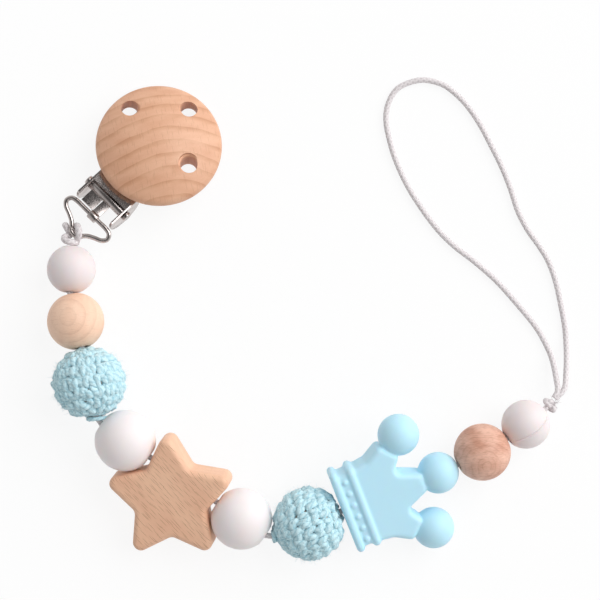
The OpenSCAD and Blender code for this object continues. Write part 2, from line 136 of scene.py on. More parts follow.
# Cords and knots
HALF_GAP = 0.075 * MM
CORD_TUCK = 1.0 * MM
CORD_CUT = 1.3 * MM
CORD_TIP = 0.02
BRAID_STRANDS = 4
BRAID_LAY = 5.6 * MM
BRAID_RELIEF = 0.05
HITCH_SCALE = 1.12
HITCH_SWELL = 1.15
LOOP_KNOT_R = 2.0 * MM
LOOP_KNOT_OPEN = 0.35
LOOP_KNOT_SCALE = (0.52, 0.22, 0.5)
LOOP_LIFT = 0.12 * MM
# Share of its thickness that a loose fibre has lost at its tip
FIBRE_TAPER = 0.6
FRAY_COUNT = 11
FRAY_R = 0.09 * MM
FRAY_L = 2.3 * MM
FRAY_SHORTEST = 0.6
FRAY_SPREAD = 0.4
# Start of the frayed end in millimetres from the knot's middle, and its way
FRAY_FROM = (0.5, 0.1, 0.5)
FRAY_WAY = (1.0, 0.3, 0.1)
# Lines of the hitch on the bail and of its cut end, in millimetres from the bail's neck
HITCH_LINE = (
    (-0.1, -3.2, -0.9), (0, -2, -0.6), (0.9, -1, 0.3), (1.3, 0.3, 1.2), (1, 1.6, 0.6), (0.5, 1.9, -0.5),
    (-0.2, 1, -1.35), (-1.1, -0.2, -1.2), (-2, -0.5, -0.3), (-1.9, -1.2, 0.5), (-0.9, -1.6, 0.9),
    (0.2, -1.7, 0.5), (0.6, -1.7, -0.4))
HITCH_TAIL = ((-0.6, -0.3, -1.2), (-1.3, 0.9, -1.2), (-1.9, 2.0, -0.9), (-2.1, 2.7, -0.6))
# Route of the loop in millimetres from its knot: down to the table, round on it, and up again
LOOP_DOWN = ((1.9, 3.4, -0.6), (1.8, 6, -2.2), (1.2, 10, -3.8))
LOOP_ON_TABLE = (
    (0.1, 13.5), (-2.8, 18.8), (-7.5, 24.6), (-12.7, 30.4), (-18, 35.1), (-23.3, 39.2), (-27.4, 43.3),
    (-31.4, 48.6), (-35, 54.4), (-37.9, 60.8), (-39.6, 66.7), (-40.2, 70.8), (-39.6, 74.6), (-37.6, 78),
    (-34.3, 79.8), (-30.6, 80.4), (-26.2, 79.3), (-22.7, 76.8), (-19.8, 73.7), (-16.8, 69.3), (-13.9, 63.8),
    (-11.3, 58.5), (-9.2, 53.2), (-7.5, 48), (-5.1, 43.3), (-2.2, 39.2), (0.1, 35.4), (1.9, 30.5),
    (3.1, 25.2), (4.1, 19.9), (4.5, 15.8))
LOOP_UP = ((4.5, 11.7, -3.8), (4.2, 7.8, -2.4), (3.6, 4, -0.9))

# Round beads
BEAD_CORNER = 0.25 * MM
MOULD_LINE_W = 0.17 * MM
STRING = (
    "silicone_bead_1", "wood_bead_1", "crochet_1", "silicone_bead_2", "star", "silicone_bead_3", "crochet_2",
    "crown", "wood_bead_2", "silicone_bead_4")
# Diameter, the setting that holds its colour, and the mould line's angle about the bore in degrees and its
# height in millimetres
SILICONE_BEADS = {
    "silicone_bead_1": (SMALL_SILICONE_D, "small_bead_colour", 10, 0.03),
    "silicone_bead_2": (LARGE_SILICONE_D, "large_bead_colour", 5, 0.03),
    "silicone_bead_3": (LARGE_SILICONE_D, "large_bead_colour", 175, 0.03),
    "silicone_bead_4": (SMALL_SILICONE_D, "small_bead_colour", 114, 0.28),
}

# Crocheted beads
YARN_PLIES = 3
YARN_LAY = 4.2 * MM
YARN_RELIEF = 0.13
YARN_FUZZ = 0.05
YARN_SPHERE_R = 7.85 * MM
YARN_SHARE = 0.98
CROCHET_OPEN = 0.2
# Turns of yarn that close each cover's ends: at its far end, where the yarn starts, and at its near end
CLOSING_TURNS = {1: (1.8, 0.0), 2: (0.9, 1.8)}
CLOSING_PITCH = 0.85
STITCH_SLANT = 0.15
STITCH_JITTER = 0.1
# One crochet stitch: stitches along, rows across, yarns out, and the yarn's fatness
STITCH = (
    (0.50, 0.05, -0.35, 0.8), (0.66, 0.30, 0.12, 1.0), (0.80, 0.66, 0.26, 1.15), (0.82, 1.00, 0.05, 1.0),
    (0.50, 1.12, -0.10, 0.9), (0.18, 1.00, 0.05, 1.0), (0.22, 0.66, 0.26, 1.15), (0.36, 0.30, 0.12, 1.0),
    (0.50, 0.05, -0.35, 0.8), (0.92, 0.05, -0.45, 0.8))
FUZZ_COUNT = 320
FUZZ_R = 0.045 * MM
FUZZ_L = 1.7 * MM
FUZZ_LEAN = 0.55
FUZZ_BEND = 0.5
FUZZ_LOWEST = -0.35
FUZZ_TO_BORE = 0.7
CORE_PITH = np.array([0.0, -9.0, 0.0]) * MM

# Star and crown
STAR_TIPS = 5
STAR_POINT_R = 17.7 * MM
STAR_NOTCH_R = 9.3 * MM
STAR_FIRST_NOTCH = math.radians(18)
STAR_CORNER_ROUND = 2.0 * MM
STAR_RIM = 0.4 * MM
STAR_GRAIN = math.radians(-47)
STAR_PITH = 30 * MM
CROWN_CORNER_ROUND = 1.4 * MM
CROWN_EDGE_ROUND = 1.3 * MM
CROWN_SMOOTHING = 5
CROWN_SMOOTH_SHARE = 0.5
RIDGE_W = 21.6 * MM
RIDGE_T = 8.8 * MM
RIDGE_L = 2.0 * MM
RIDGE_STEP = 4.2 * MM
RIDGE_CORNER_R = 2.0 * MM
RIDGE_EDGE_SHARE = 0.48
PEARL_D = 1.8 * MM
PEARL_SUNK = 0.35 * MM
PEARL_OUT = CROWN_T / 2 - PEARL_SUNK
PEARL_COUNT = 6
PEARL_STEP = 3.1 * MM
# Half of the crown's outline in millimetres: along from its base, and out from its axis
CROWN_HALF = (
    (0.6, 9.6), (5.4, 9.8), (9.5, 10.4), (13.9, 13.0), (17.7, 8.7), (15.0, 5.0), (21.4, 2.2))

# Clip
VENT_DEGREES = (90, 180, 270)
VENT_SHIFT = np.array([-0.8, -0.8]) * MM
VENT_FLARE = 0.5 * MM
VENT_DOME_H = 6.4 * MM
VENT_PROUD = 0.04 * MM
VENT_BEYOND = 1.0 * MM
DISC_PITH = np.array([7.0, -40.0, 0.0]) * MM
BUTT_AT = 0.56
BUTT_W = 0.12 * MM
BUTT_DEPTH = 0.25
# Half of the bail's centre line in millimetres: across, and away from the straight wire
BAIL_HALF = (
    (0, 0), (2.6, 0), (5, 0), (6.5, 0.4), (7.1, 1.7), (6.2, 2.9), (4.4, 3.7), (2.9, 4.5), (2, 5.3),
    (1.6, 5.9), (1, 6.5), (0, 6.7))
# CAD node, body, name and width of its rounded edges
CLAMP_PIECES = (
    ("clip_body", "clip", "pressed_clamp_body", 0.15 * MM),
    ("lever", "lever", "pressed_lever", 0.12 * MM),
    ("lever_pin", "clip", "riveted_pin", 0.3 * MM),
)


# Colours, lamps and camera

class Beech(NamedTuple):
    """Colours and pattern of a piece of beech: sizes in millimetres, and depths as shares of a colour."""

    face: str
    shade: str
    line: str
    fleck: str
    ring_step: float
    ring_waver: float = 3.0
    ring_depth: float = 0.5
    cloud_depth: float = 0.8
    fibre_depth: float = 0.2
    fleck_cell: tuple = (2.2, 0.9)
    fleck_size: tuple = (0.8, 0.06)
    fleck_depth: float = 0.3
    fibre_cell: tuple = (0.25, 0.25, 3)
    cloud_cell: tuple = (2.6, 7, 14)


DISC_WOOD = Beech(
    "#E6B595", "#D9A281", "#C0845F", "#B07A5A", 3.2, ring_depth=0.6, fleck_cell=(3.4, 1.1),
    fleck_size=(1.1, 0.07), fleck_depth=0.35)
PALE_WOOD = Beech(
    "#FBD6BC", "#F3C5A8", "#C99878", "#C99878", 2.2, ring_waver=2.0, ring_depth=0.28, cloud_depth=0.6)
RED_WOOD = Beech(
    "#EEC0AA", "#CC937A", "#A0644B", "#9A644E", 1.25, ring_waver=9.0, ring_depth=0.28, cloud_depth=0.85,
    fibre_depth=0.45, fibre_cell=(0.9, 0.14, 3), cloud_cell=(4.4, 3.2, 6))
STAR_WOOD = Beech(
    "#F3C6A6", "#E9B697", "#DAA787", "#9E6E4E", 2.4, ring_depth=0.12, fibre_depth=0.4, fleck_cell=(3.2, 0.7),
    fleck_size=(1.6, 0.06), fleck_depth=0.7)
# Slot, wood, and place of the ring's middle from the bead's
WOODEN_BEADS = {
    "wood_bead_1": ("beech", PALE_WOOD, np.array([-1.2, 1.2, 0.0]) * MM),
    "wood_bead_2": ("red_beech", RED_WOOD, np.array([0.6, -3.0, 0.0]) * MM),
}
END_GRAIN = np.eye(3)
# The flecks of flat-sawn wood lie across its face, which is a quarter turn from its rings
FLAT_SAWN = (0.0, QUARTER, 0.0)
# Grey of the cord: painted shade in the grooves between its strands, and the tone of random tufts
CORD_SHADE_AND_TUFT = "#C4BBBD"
# Deep blue of the yarn: painted shade in the grooves between its plies, and the tone of random tufts
COTTON_SHADE_AND_TUFT = "#9FCFDD"
STEEL = "#CCC3C0"
STEEL_SMUDGE = "#B3AAA7"
PAD = "#E6E6E4"
PAPER = "#FFFFFF"
SKY = "#FFFFFF"
SKY_STRENGTH = 0.57
CEILING_STRENGTH = 0.08
CEILING_FROM = 0.66
CEILING_FULL = 0.88
FLOOR_GLOW = 0.88
FLOOR_HALF = 1.5
FLOOR_GAP = 0.02 * MM
LAMP_DISTANCE = 2.0
# Size in metres, power in watts, azimuth and elevation in degrees, and whether metal mirrors the lamp
LAMPS = {
    "soft_window": (2.2, 38.0, 30, 40, True),
    "overhead_fill": (1.4, 3.6, 120, 86, False),
}
CAMERA_AT = np.array([-0.68, 5.29, 517.8]) * MM
CAMERA_DEGREES = 16.4
CAMERA_NEAR = 0.01


# Numbers and frames

def linear(hex_colour):
    """Linear RGBA of an sRGB hex colour: a straight stretch near black, and a power of 2.4 above it."""
    channels = [int(hex_colour[k:k + 2], 16) / 255 for k in (1, 3, 5)]
    return [c / 12.92 if c <= 0.04045 else ((c + 0.055) / 1.055) ** 2.4 for c in channels] + [1.0]


def unit(vectors):
    """Vectors divided by their lengths."""
    return vectors / np.linalg.norm(vectors, axis=-1, keepdims=True)


def joint_place(name):
    """Place of a joint."""
    return np.array(JOINTS[name]["pos_m"])


def joint_axis(name):
    """Unit axis of a joint."""
    return unit(np.array(JOINTS[name]["axis"]))


def bore_frame(piece, roll=0.0):
    """Place and own axes of a piece on the string: x along its bore, y level, z up, then rolled about x."""
    along = joint_axis(piece + "_spin")
    level = unit(np.array([-along[1], along[0], 0.0]))
    across = level * math.cos(roll) + np.cross(along, level) * math.sin(roll)
    return joint_place(piece + "_spin"), np.array([along, across, np.cross(along, across)])


def clip_frame():
    """Place and own axes of the clip: the middle of the disc's back, x to the bail, y on the pin, z out."""
    pin = joint_place("jaw_hinge")
    to_bail = unit(joint_place("bail_hinge") - pin)
    along_pin = joint_axis("jaw_hinge")
    out = np.cross(to_bail, along_pin)
    return pin - (DISC_R + PIN_BEYOND_RIM) * to_bail + PIN_DEPTH * out, np.array([to_bail, along_pin, out])


def bail_frame():
    """Place and own axes of the bail: the middle of its straight wire, x along it, y to its neck, z up."""
    _, (to_bail, along_pin, out) = clip_frame()
    far = math.cos(BAIL_DROP) * to_bail - math.sin(BAIL_DROP) * out
    up = math.cos(BAIL_DROP) * out + math.sin(BAIL_DROP) * to_bail
    return joint_place("bail_hinge") + BAIL_SHIFT * along_pin, np.array([along_pin, far, up])


def placed(points, own_frame):
    """Points in a piece's own frame, carried to the model's frame."""
    place, axes = own_frame
    return place + points @ axes


# Lines and outlines

def smooth_line(points, steps, closed=False):
    """Line through points: on each stretch a cubic whose slope at a point is half the step between the
    point's neighbours."""
    if closed:
        rows = [np.roll(points, shift, axis=0) for shift in (1, 0, -1, -2)]
    else:
        padded = np.vstack([points[:1], points, points[-1:]])
        rows = [padded[:-3], padded[1:-2], padded[2:-1], padded[3:]]
    a, b, c, d = (row[:, None] for row in rows)
    t = np.linspace(0, 1, steps, endpoint=False)[None, :, None]
    line = b + t * ((c - a) / 2 + t * (a - 2.5 * b + 2 * c - d / 2 + t * ((d - a) / 2 + 1.5 * (b - c))))
    line = line.reshape(-1, points.shape[1])
    return line if closed else np.vstack([line, points[-1:]])


def line_lengths(line):
    """Length along a line at each of its points."""
    return np.concatenate([[0.0], np.cumsum(np.linalg.norm(np.diff(line, axis=0), axis=1))])


def even_line(line, step):
    """The same line with points at even steps along its length."""
    lengths = line_lengths(line)
    at = np.linspace(0, lengths[-1], max(2, round(lengths[-1] / step)))
    return np.stack([np.interp(at, lengths, line[:, k]) for k in range(line.shape[1])], axis=-1)


def softened(outline, blur, count):
    """Closed outline at even steps, averaged along its length with a bell of the given width, which rounds
    its corners off."""
    closed = np.vstack([outline, outline[:1]])
    lengths = line_lengths(closed)
    at = np.linspace(0, lengths[-1], count, endpoint=False)
    even = np.stack([np.interp(at, lengths, closed[:, k]) for k in range(2)], axis=-1)
    waves = np.fft.fftfreq(count, lengths[-1] / count)
    bell = np.exp(-2 * (math.pi * waves * blur) ** 2)
    return np.real(np.fft.ifft(np.fft.fft(even, axis=0) * bell[:, None], axis=0))


def rounded_outline(corners, radius, inset, steps):
    """Closed outline whose corners are arcs of the given radius, moved inwards by inset.

    Each arc's middle stands off both of its sides by the radius, and the arc turns by the corner's bend.
    """
    come = unit(corners - np.roll(corners, 1, axis=0))
    go = unit(np.roll(corners, -1, axis=0) - corners)
    bend = np.arctan2(come[:, 0] * go[:, 1] - come[:, 1] * go[:, 0], np.sum(come * go, axis=1))
    side = np.sign(bend)
    square = np.stack([-come[:, 1], come[:, 0]], axis=-1)
    back = (side * np.tan(np.abs(bend) / 2))[:, None] * come
    middle = corners + (side * radius)[:, None] * (square - back)
    start = np.arctan2(come[:, 1], come[:, 0]) - side * QUARTER
    turn = start[:, None] + bend[:, None] * np.linspace(0, 1, steps + 1)[None]
    arc = np.stack([np.cos(turn), np.sin(turn)], axis=-1)
    return (middle[:, None] + (radius - side * inset)[:, None, None] * arc).reshape(-1, 2)


# Meshes

def grid_quads(rows, columns, wrap):
    """Quads of a grid whose rows are closed rings, and each quad's row and column.

    wrap joins the last row to the first. The quads' outward side is the way around the columns crossed with
    the way along the rows.
    """
    r, c = np.meshgrid(np.arange(rows if wrap else rows - 1), np.arange(columns), indexing="ij")
    next_r = (r + 1) % rows
    next_c = (c + 1) % columns
    corners = [r * columns + c, r * columns + next_c, next_r * columns + next_c, next_r * columns + c]
    return np.stack(corners, axis=-1).reshape(-1, 4), r.ravel(), c.ravel()


def end_caps(rows, sides):
    """Faces that close the first and the last ring of a grid."""
    return [list(range(sides))[::-1], list(range((rows - 1) * sides, rows * sides))]


def smooth(mesh):
    """Shades every face of a mesh smooth."""
    mesh.polygons.foreach_set("use_smooth", np.ones(len(mesh.polygons), dtype=bool))


def show(name, mesh):
    """Object at the origin with that mesh, shaded smooth."""
    smooth(mesh)
    obj = bpy.data.objects.new(name, mesh)
    bpy.context.scene.collection.objects.link(obj)
    return obj


def new_object(name, points, faces):
    """Object at the origin with a mesh of the points and faces."""
    mesh = bpy.data.meshes.new(name)
    mesh.from_pydata(points.reshape(-1, 3).tolist(), [], faces)
    return show(name, mesh)


def shown_work(name, work):
    """Object at the origin with the mesh of a bmesh, which is freed."""
    mesh = bpy.data.meshes.new(name)
    work.to_mesh(mesh)
    work.free()
    return show(name, mesh)


def move(obj, own_frame):
    """Carries a mesh from its own frame to the model's frame."""
    points = np.empty(3 * len(obj.data.vertices))
    obj.data.vertices.foreach_get("co", points)
    obj.data.vertices.foreach_set("co", placed(points.reshape(-1, 3), own_frame).ravel())
    return obj


def fibres(name, roots, ways, bends, radius):
    """Loose fibres as one mesh: each follows root + t * way + t^2 * bend and thins towards its tip."""
    t = np.linspace(0, 1, FIBRE_STEPS)[None, :, None]
    line = roots[:, None] + t * ways[:, None] + t ** 2 * bends[:, None]
    ahead = unit(ways[:, None] + 2 * t * bends[:, None])
    side = unit(np.cross(bends[:, None], ahead))
    lift = np.cross(ahead, side)
    angle = np.linspace(0, TURN, FIBRE_SIDES, endpoint=False)[:, None]
    ring = np.cos(angle) * side[:, :, None] + np.sin(angle) * lift[:, :, None]
    points = line[:, :, None] + radius * (1 - FIBRE_TAPER * t)[..., None] * ring
    quads, _, _ = grid_quads(FIBRE_STEPS, FIBRE_SIDES, False)
    start = FIBRE_STEPS * FIBRE_SIDES * np.arange(len(roots))[:, None]
    first, last = (start + np.array(cap) for cap in end_caps(FIBRE_STEPS, FIBRE_SIDES))
    walls = (start[:, None] + quads).reshape(-1, 4)
    return new_object(name, points, walls.tolist() + first.tolist() + last.tolist())


def merge_doubles(obj):
    """Closes a mesh's poles and seams by merging points that lie on each other."""
    work = bmesh.new()
    work.from_mesh(obj.data)
    bmesh.ops.remove_doubles(work, verts=work.verts, dist=MERGE)
    work.to_mesh(obj.data)
    work.free()
    return obj


def tube(name, line, radii, up, closed=False):
    """Carries a ring along a line: line + radius * (cos a * side + sin a * lift).

    radii holds a radius for each ring and angle. side is square to the line and to up, and lift is square to
    both. The UV map holds the angle as a share of a turn and the length along the line in millimetres.
    """
    count, sides = radii.shape
    ahead = np.roll(line, -1, axis=0) - np.roll(line, 1, axis=0) if closed else np.gradient(line, axis=0)
    ahead = unit(ahead)
    side = unit(np.cross(up, ahead))
    lift = np.cross(ahead, side)
    angle = np.linspace(0, TURN, sides, endpoint=False)[None, :, None]
    ring = np.cos(angle) * side[:, None] + np.sin(angle) * lift[:, None]
    points = line[:, None] + radii[:, :, None] * ring
    quads, r, c = grid_quads(count, sides, closed)
    obj = new_object(name, points, quads.tolist() + ([] if closed else end_caps(count, sides)))
    around = np.stack([c, c + 1, c + 1, c], axis=-1) / sides
    lengths = np.append(line_lengths(line), 0.0) / MM
    lengths[-1] = lengths[-2] + np.linalg.norm(line[0] - line[-1]) / MM
    along = np.stack([lengths[r], lengths[r], lengths[r + 1], lengths[r + 1]], axis=-1)
    coordinates = np.zeros((len(obj.data.loops), 2))
    coordinates[:around.size] = np.stack([around, along], axis=-1).reshape(-1, 2)
    layer = obj.data.uv_layers.new(name="around_along")
    layer.data.foreach_set("uv", coordinates.ravel())
    return obj


def turned(name, profile, own_frame, sides=BEAD_SIDES, swell=None, closed=True):
    """Turns a profile of (along, radius) about its own x: x = along, (y, z) = radius * (cos a, sin a).

    swell gives an extra radius for each point of the profile and each angle. A profile that isn't closed
    starts and ends on the axis.
    """
    angle = np.linspace(0, TURN, sides, endpoint=False)
    along = np.repeat(profile[:, :1], sides, axis=1)
    radius = np.repeat(profile[:, 1:], sides, axis=1)
    if swell is not None:
        radius = radius + swell(profile, angle)
    points = np.stack([along, radius * np.cos(angle), radius * np.sin(angle)], axis=-1)
    quads, _, _ = grid_quads(len(profile), sides, closed)
    return merge_doubles(new_object(name, placed(points.reshape(-1, 3), own_frame), quads.tolist()))


def finished_mesh(obj):
    """Gives an object the mesh that its modifiers make, and takes the modifiers off."""
    bpy.context.view_layer.update()
    evaluated = obj.evaluated_get(bpy.context.evaluated_depsgraph_get())
    mesh = bpy.data.meshes.new_from_object(evaluated)
    obj.modifiers.clear()
    obj.data = mesh
    return obj


def cut(obj, *cutters):
    """Takes the cutters' volumes out of an object and removes them."""
    for cutter in cutters:
        step = obj.modifiers.new(cutter.name, "BOOLEAN")
        step.object = cutter
        step.operation = "DIFFERENCE"
        step.solver = "EXACT"
    finished_mesh(obj)
    for cutter in cutters:
        bpy.data.objects.remove(cutter)
    return obj


def crease(obj, degrees):
    """Smooth shading that breaks at edges sharper than the given angle."""
    obj.data.set_sharp_from_angle(angle=math.radians(degrees))
    return obj


def dress(obj, material, body, slot, *nodes):
    """Gives a piece its material and its body, and hides the CAD nodes that it stands for; the slot is not
    used.
    """
    obj.data.materials.clear()
    obj.data.materials.append(material)
    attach(obj, body)
    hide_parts(*nodes)
    return obj


def paint(node, material):
    """Gives a CAD node that stays in view its material."""
    materials = frame["nodes"][node].data.materials
    materials.clear()
    materials.append(material)


# Materials

def connect(tree, node, inputs):
    """Fills a node's inputs: another node's first output or a socket is linked, and a value is set."""
    for name, value in inputs.items():
        if isinstance(value, bpy.types.Node):
            value = value.outputs[0]
        if isinstance(value, bpy.types.NodeSocket):
            tree.links.new(value, node.inputs[name])
        else:
            node.inputs[name].default_value = value


def add(tree, kind, inputs=None, **properties):
    """Adds a shader node with its properties and its inputs."""
    node = tree.nodes.new("ShaderNode" + kind)
    for name, value in properties.items():
        setattr(node, name, value)
    connect(tree, node, inputs or {})
    return node


def new_material(name, kind="BsdfPrincipled"):
    """A new material, its node tree, and the shader of the given kind on its surface."""
    material = bpy.data.materials.new(name)
    material.use_nodes = True
    tree = material.node_tree
    tree.nodes.clear()
    shader = add(tree, kind)
    add(tree, "OutputMaterial", {"Surface": shader})
    return material, tree, shader


def shared(name, make, *arguments):
    """The material of that name, made on its first use."""
    return bpy.data.materials.get(name) or make(name, *arguments)


def per_metre(*sizes):
    """How many cells of the given sizes in millimetres fit in a metre."""
    return [1 / (size * MM) for size in sizes]


def ray_flecks(tree, vector, cell, fleck):
    """Flecks of the wood's rays: 1 in an ellipse around each point of a random lattice.

    The lattice has one point in each cell. cell and fleck are lengths in millimetres along the vector's x and
    y, and the pattern runs straight along z.
    """
    cells = add(tree, "Mapping", {"Vector": vector, "Scale": [*per_metre(*cell), 1.0]})
    lattice = add(tree, "TexVoronoi", {"Vector": cells, "Scale": 1.0}, voronoi_dimensions="2D")
    offset = add(tree, "VectorMath", {0: cells, 1: lattice.outputs["Position"]}, operation="SUBTRACT")
    squeeze = [cell[0] / fleck[0], cell[1] / fleck[1], 0.0]
    flat = add(tree, "VectorMath", {0: offset, 1: squeeze}, operation="MULTIPLY")
    reach = add(tree, "VectorMath", {0: flat}, operation="LENGTH").outputs["Value"]
    return add(tree, "MapRange", {"Value": reach, "From Min": 1.0, "From Max": 0.5})


def beech(name, wood, pith, grain, fleck_turn=(0.0, 0.0, 0.0)):
    """Beech, turned or sawn, sanded and oiled: pale pink-brown, with growth rings that end in a fine dark
    line, and short dark flecks on the faces that cut the rays.

    pith is a point on the middle of the rings, and grain holds the axes of the wood: x out from the pith,
    y around it and z along it. fleck_turn turns the flecks' plane to the face.
    """
    face, shade, line, fleck = (linear(colour) for colour in (wood.face, wood.shade, wood.line, wood.fleck))
    material, tree, shader = new_material(name)
    place = add(tree, "TexCoord").outputs
    turn = Matrix(grain.tolist()).transposed().to_euler()
    own = add(
        tree, "Mapping", {"Vector": place["Object"], "Location": pith.tolist(), "Rotation": turn},
        vector_type="TEXTURE")
    ring_scale = WAVE_LENGTH / (wood.ring_step * MM)
    rings = add(
        tree, "TexWave",
        {"Vector": own, "Scale": ring_scale, "Distortion": wood.ring_waver, "Detail": 2.0,
         "Detail Scale": 0.6},
        wave_type="RINGS", rings_direction="Z", wave_profile="SAW").outputs["Fac"]
    ring_edge = add(tree, "MapRange", {"Value": rings, "From Min": 0.6, "To Max": wood.ring_depth})
    cloud_cells = add(tree, "Mapping", {"Vector": own, "Scale": per_metre(*wood.cloud_cell)})
    cloud = add(tree, "TexNoise", {"Vector": cloud_cells, "Scale": 1.0, "Detail": 4.0})
    cloud_depth = add(
        tree, "MapRange", {"Value": cloud, "From Min": 0.35, "From Max": 0.68, "To Max": wood.cloud_depth})
    ring_share = add(tree, "MapRange", {"Value": cloud, "From Min": 0.3, "From Max": 0.6, "To Min": 0.25})
    ring_depth = add(tree, "Math", {0: ring_edge, 1: ring_share}, operation="MULTIPLY")
    # The wood's pores are too fine to show, so wider streaks stand for them
    fibre_cells = add(tree, "Mapping", {"Vector": own, "Scale": per_metre(*wood.fibre_cell)})
    fibre = add(tree, "TexNoise", {"Vector": fibre_cells, "Scale": 1.0, "Detail": 2.0})
    fibre_depth = add(
        tree, "MapRange", {"Value": fibre, "From Min": 0.5, "From Max": 0.8, "To Max": wood.fibre_depth})
    turned_plane = add(tree, "Mapping", {"Vector": own, "Rotation": fleck_turn})
    through = np.array(Euler(fleck_turn).to_matrix())[2] @ grain
    facing = add(tree, "VectorMath", {0: place["Normal"], 1: through.tolist()}, operation="DOT_PRODUCT")
    facing = add(tree, "Math", {0: facing.outputs["Value"]}, operation="ABSOLUTE")
    face_share = add(tree, "MapRange", {"Value": facing, "From Min": 0.35, "From Max": 0.75})
    flecks = ray_flecks(tree, turned_plane, wood.fleck_cell, wood.fleck_size)
    flecks = add(tree, "Math", {0: flecks, 1: face_share}, operation="MULTIPLY")
    fleck_depth = add(tree, "Math", {0: flecks, 1: wood.fleck_depth}, operation="MULTIPLY")
    colour = face
    for depth, tint in ((cloud_depth, shade), (ring_depth, line), (fibre_depth, line), (fleck_depth, fleck)):
        colour = add(tree, "Mix", {0: depth, 6: colour, 7: tint}, data_type="RGBA").outputs[2]
    roughness = add(
        tree, "MapRange", {"Value": fibre, "From Min": 0.3, "From Max": 0.7, "To Min": 0.46, "To Max": 0.6})
    bump = add(tree, "Bump", {"Height": flecks, "Strength": 0.25, "Distance": -0.04 * MM})
    connect(tree, shader, {
        "Base Color": colour, "Roughness": roughness, "Normal": bump, "IOR": 1.5, "Coat Weight": 0.05,
        "Coat Roughness": 0.35})
    return material


def moulded_silicone(name, colour):
    """Silicone from a matt mould: even and soft, with a little light under the skin and a faint mottle."""
    material, tree, shader = new_material(name)
    place = add(tree, "TexCoord").outputs["Object"]
    # Half a cell to the millimetre, so the mottle is about 2 mm wide
    mottle = add(tree, "TexNoise", {"Vector": place, "Scale": 0.5 / MM, "Detail": 3.0})
    roughness = add(
        tree, "MapRange", {"Value": mottle, "From Min": 0.3, "From Max": 0.7, "To Min": 0.42, "To Max": 0.55})
    bump = add(tree, "Bump", {"Height": mottle, "Strength": 0.04, "Distance": 0.1 * MM})
    connect(tree, shader, {
        "Base Color": colour, "Roughness": roughness, "Normal": bump, "IOR": 1.41, "Subsurface Weight": 0.15,
        "Subsurface Scale": 1.5 * MM})
    return material


def plated_steel(name, colour, smudge_colour):
    """Pressed steel, nickel plated: bright and mirror-like, dulled in streaks by rolling and by handling."""
    material, tree, shader = new_material(name)
    place = add(tree, "TexCoord").outputs["Object"]
    streak_cells = add(tree, "Mapping", {"Vector": place, "Scale": per_metre(0.15, 1.5, 0.6)})
    streak = add(tree, "TexNoise", {"Vector": streak_cells, "Scale": 1.0, "Detail": 3.0})
    # About a third of a cell to the millimetre, so a smudge is about 3 mm wide
    smudge = add(tree, "TexNoise", {"Vector": place, "Scale": 0.35 / MM, "Detail": 2.0})
    smudge_depth = add(tree, "MapRange", {"Value": smudge, "From Min": 0.4, "From Max": 0.7})
    tone = add(tree, "Mix", {0: smudge_depth, 6: colour, 7: smudge_colour}, data_type="RGBA").outputs[2]
    roughness = add(
        tree, "MapRange", {"Value": streak, "From Min": 0.3, "From Max": 0.7, "To Min": 0.16, "To Max": 0.3})
    bump = add(tree, "Bump", {"Height": streak, "Strength": 0.02, "Distance": 0.05 * MM})
    connect(tree, shader, {"Base Color": tone, "Roughness": roughness, "Normal": bump, "Metallic": 1.0})
    return material


def moulded_plastic(name, colour):
    """Moulded matt plastic: even, with a fine grain from the mould."""
    material, tree, shader = new_material(name)
    place = add(tree, "TexCoord").outputs["Object"]
    # Four cells to the millimetre, so the grain is about 0.25 mm wide
    grain = add(tree, "TexNoise", {"Vector": place, "Scale": 4 / MM, "Detail": 2.0})
    roughness = add(
        tree, "MapRange", {"Value": grain, "From Min": 0.3, "From Max": 0.7, "To Min": 0.4, "To Max": 0.55})
    bump = add(tree, "Bump", {"Height": grain, "Strength": 0.1, "Distance": 0.03 * MM})
    connect(tree, shader, {"Base Color": colour, "Roughness": roughness, "Normal": bump, "IOR": 1.49})
    return material


def strand_waves(tree, strands, lay):
    """Wave from 0 to 1 that winds around a cord: strands crests in a turn, and one turn in the length lay.

    A negative lay winds the other way.
    """
    split = add(tree, "SeparateXYZ", {"Vector": add(tree, "UVMap")}).outputs
    around = add(tree, "Math", {0: split["X"], 1: strands * TURN}, operation="MULTIPLY")
    winding = {0: split["Y"], 1: strands * TURN * MM / lay, 2: around}
    phase = add(tree, "Math", winding, operation="MULTIPLY_ADD")
    wave = add(tree, "Math", {0: phase}, operation="SINE")
    return add(tree, "MapRange", {"Value": wave, "From Min": -1.0})


def spun_cotton(name, colour, shade_and_tuft_colour):
    """Spun cotton of three plies: matt, soft and fibrous, with a sheen, and painted shade between plies."""
    material, tree, shader = new_material(name)
    place = add(tree, "TexCoord").outputs["Object"]
    # Single fibres are too fine to show, so tufts of 0.4 mm stand for them
    fibre = add(tree, "TexNoise", {"Vector": place, "Scale": 2.5 / MM, "Detail": 4.0})
    fibre_depth = add(tree, "MapRange", {"Value": fibre, "From Min": 0.4, "From Max": 0.7, "To Max": 0.35})
    plies = strand_waves(tree, YARN_PLIES, YARN_LAY)
    # Painted shade: the colour darkens in the grooves between the plies
    painted_ply_shade = add(tree, "MapRange", {"Value": plies, "From Max": 0.5, "To Min": 0.65, "To Max": 0.0})
    tone = colour
    for depth in (painted_ply_shade, fibre_depth):
        tone = add(tree, "Mix", {0: depth, 6: tone, 7: shade_and_tuft_colour}, data_type="RGBA").outputs[2]
    bump = add(tree, "Bump", {"Height": fibre, "Strength": 0.9, "Distance": 0.25 * MM})
    connect(tree, shader, {
        "Base Color": tone, "Normal": bump, "Roughness": 0.9, "IOR": 1.45, "Specular IOR Level": 0.2,
        "Sheen Weight": 0.35, "Sheen Roughness": 0.5})
    return material


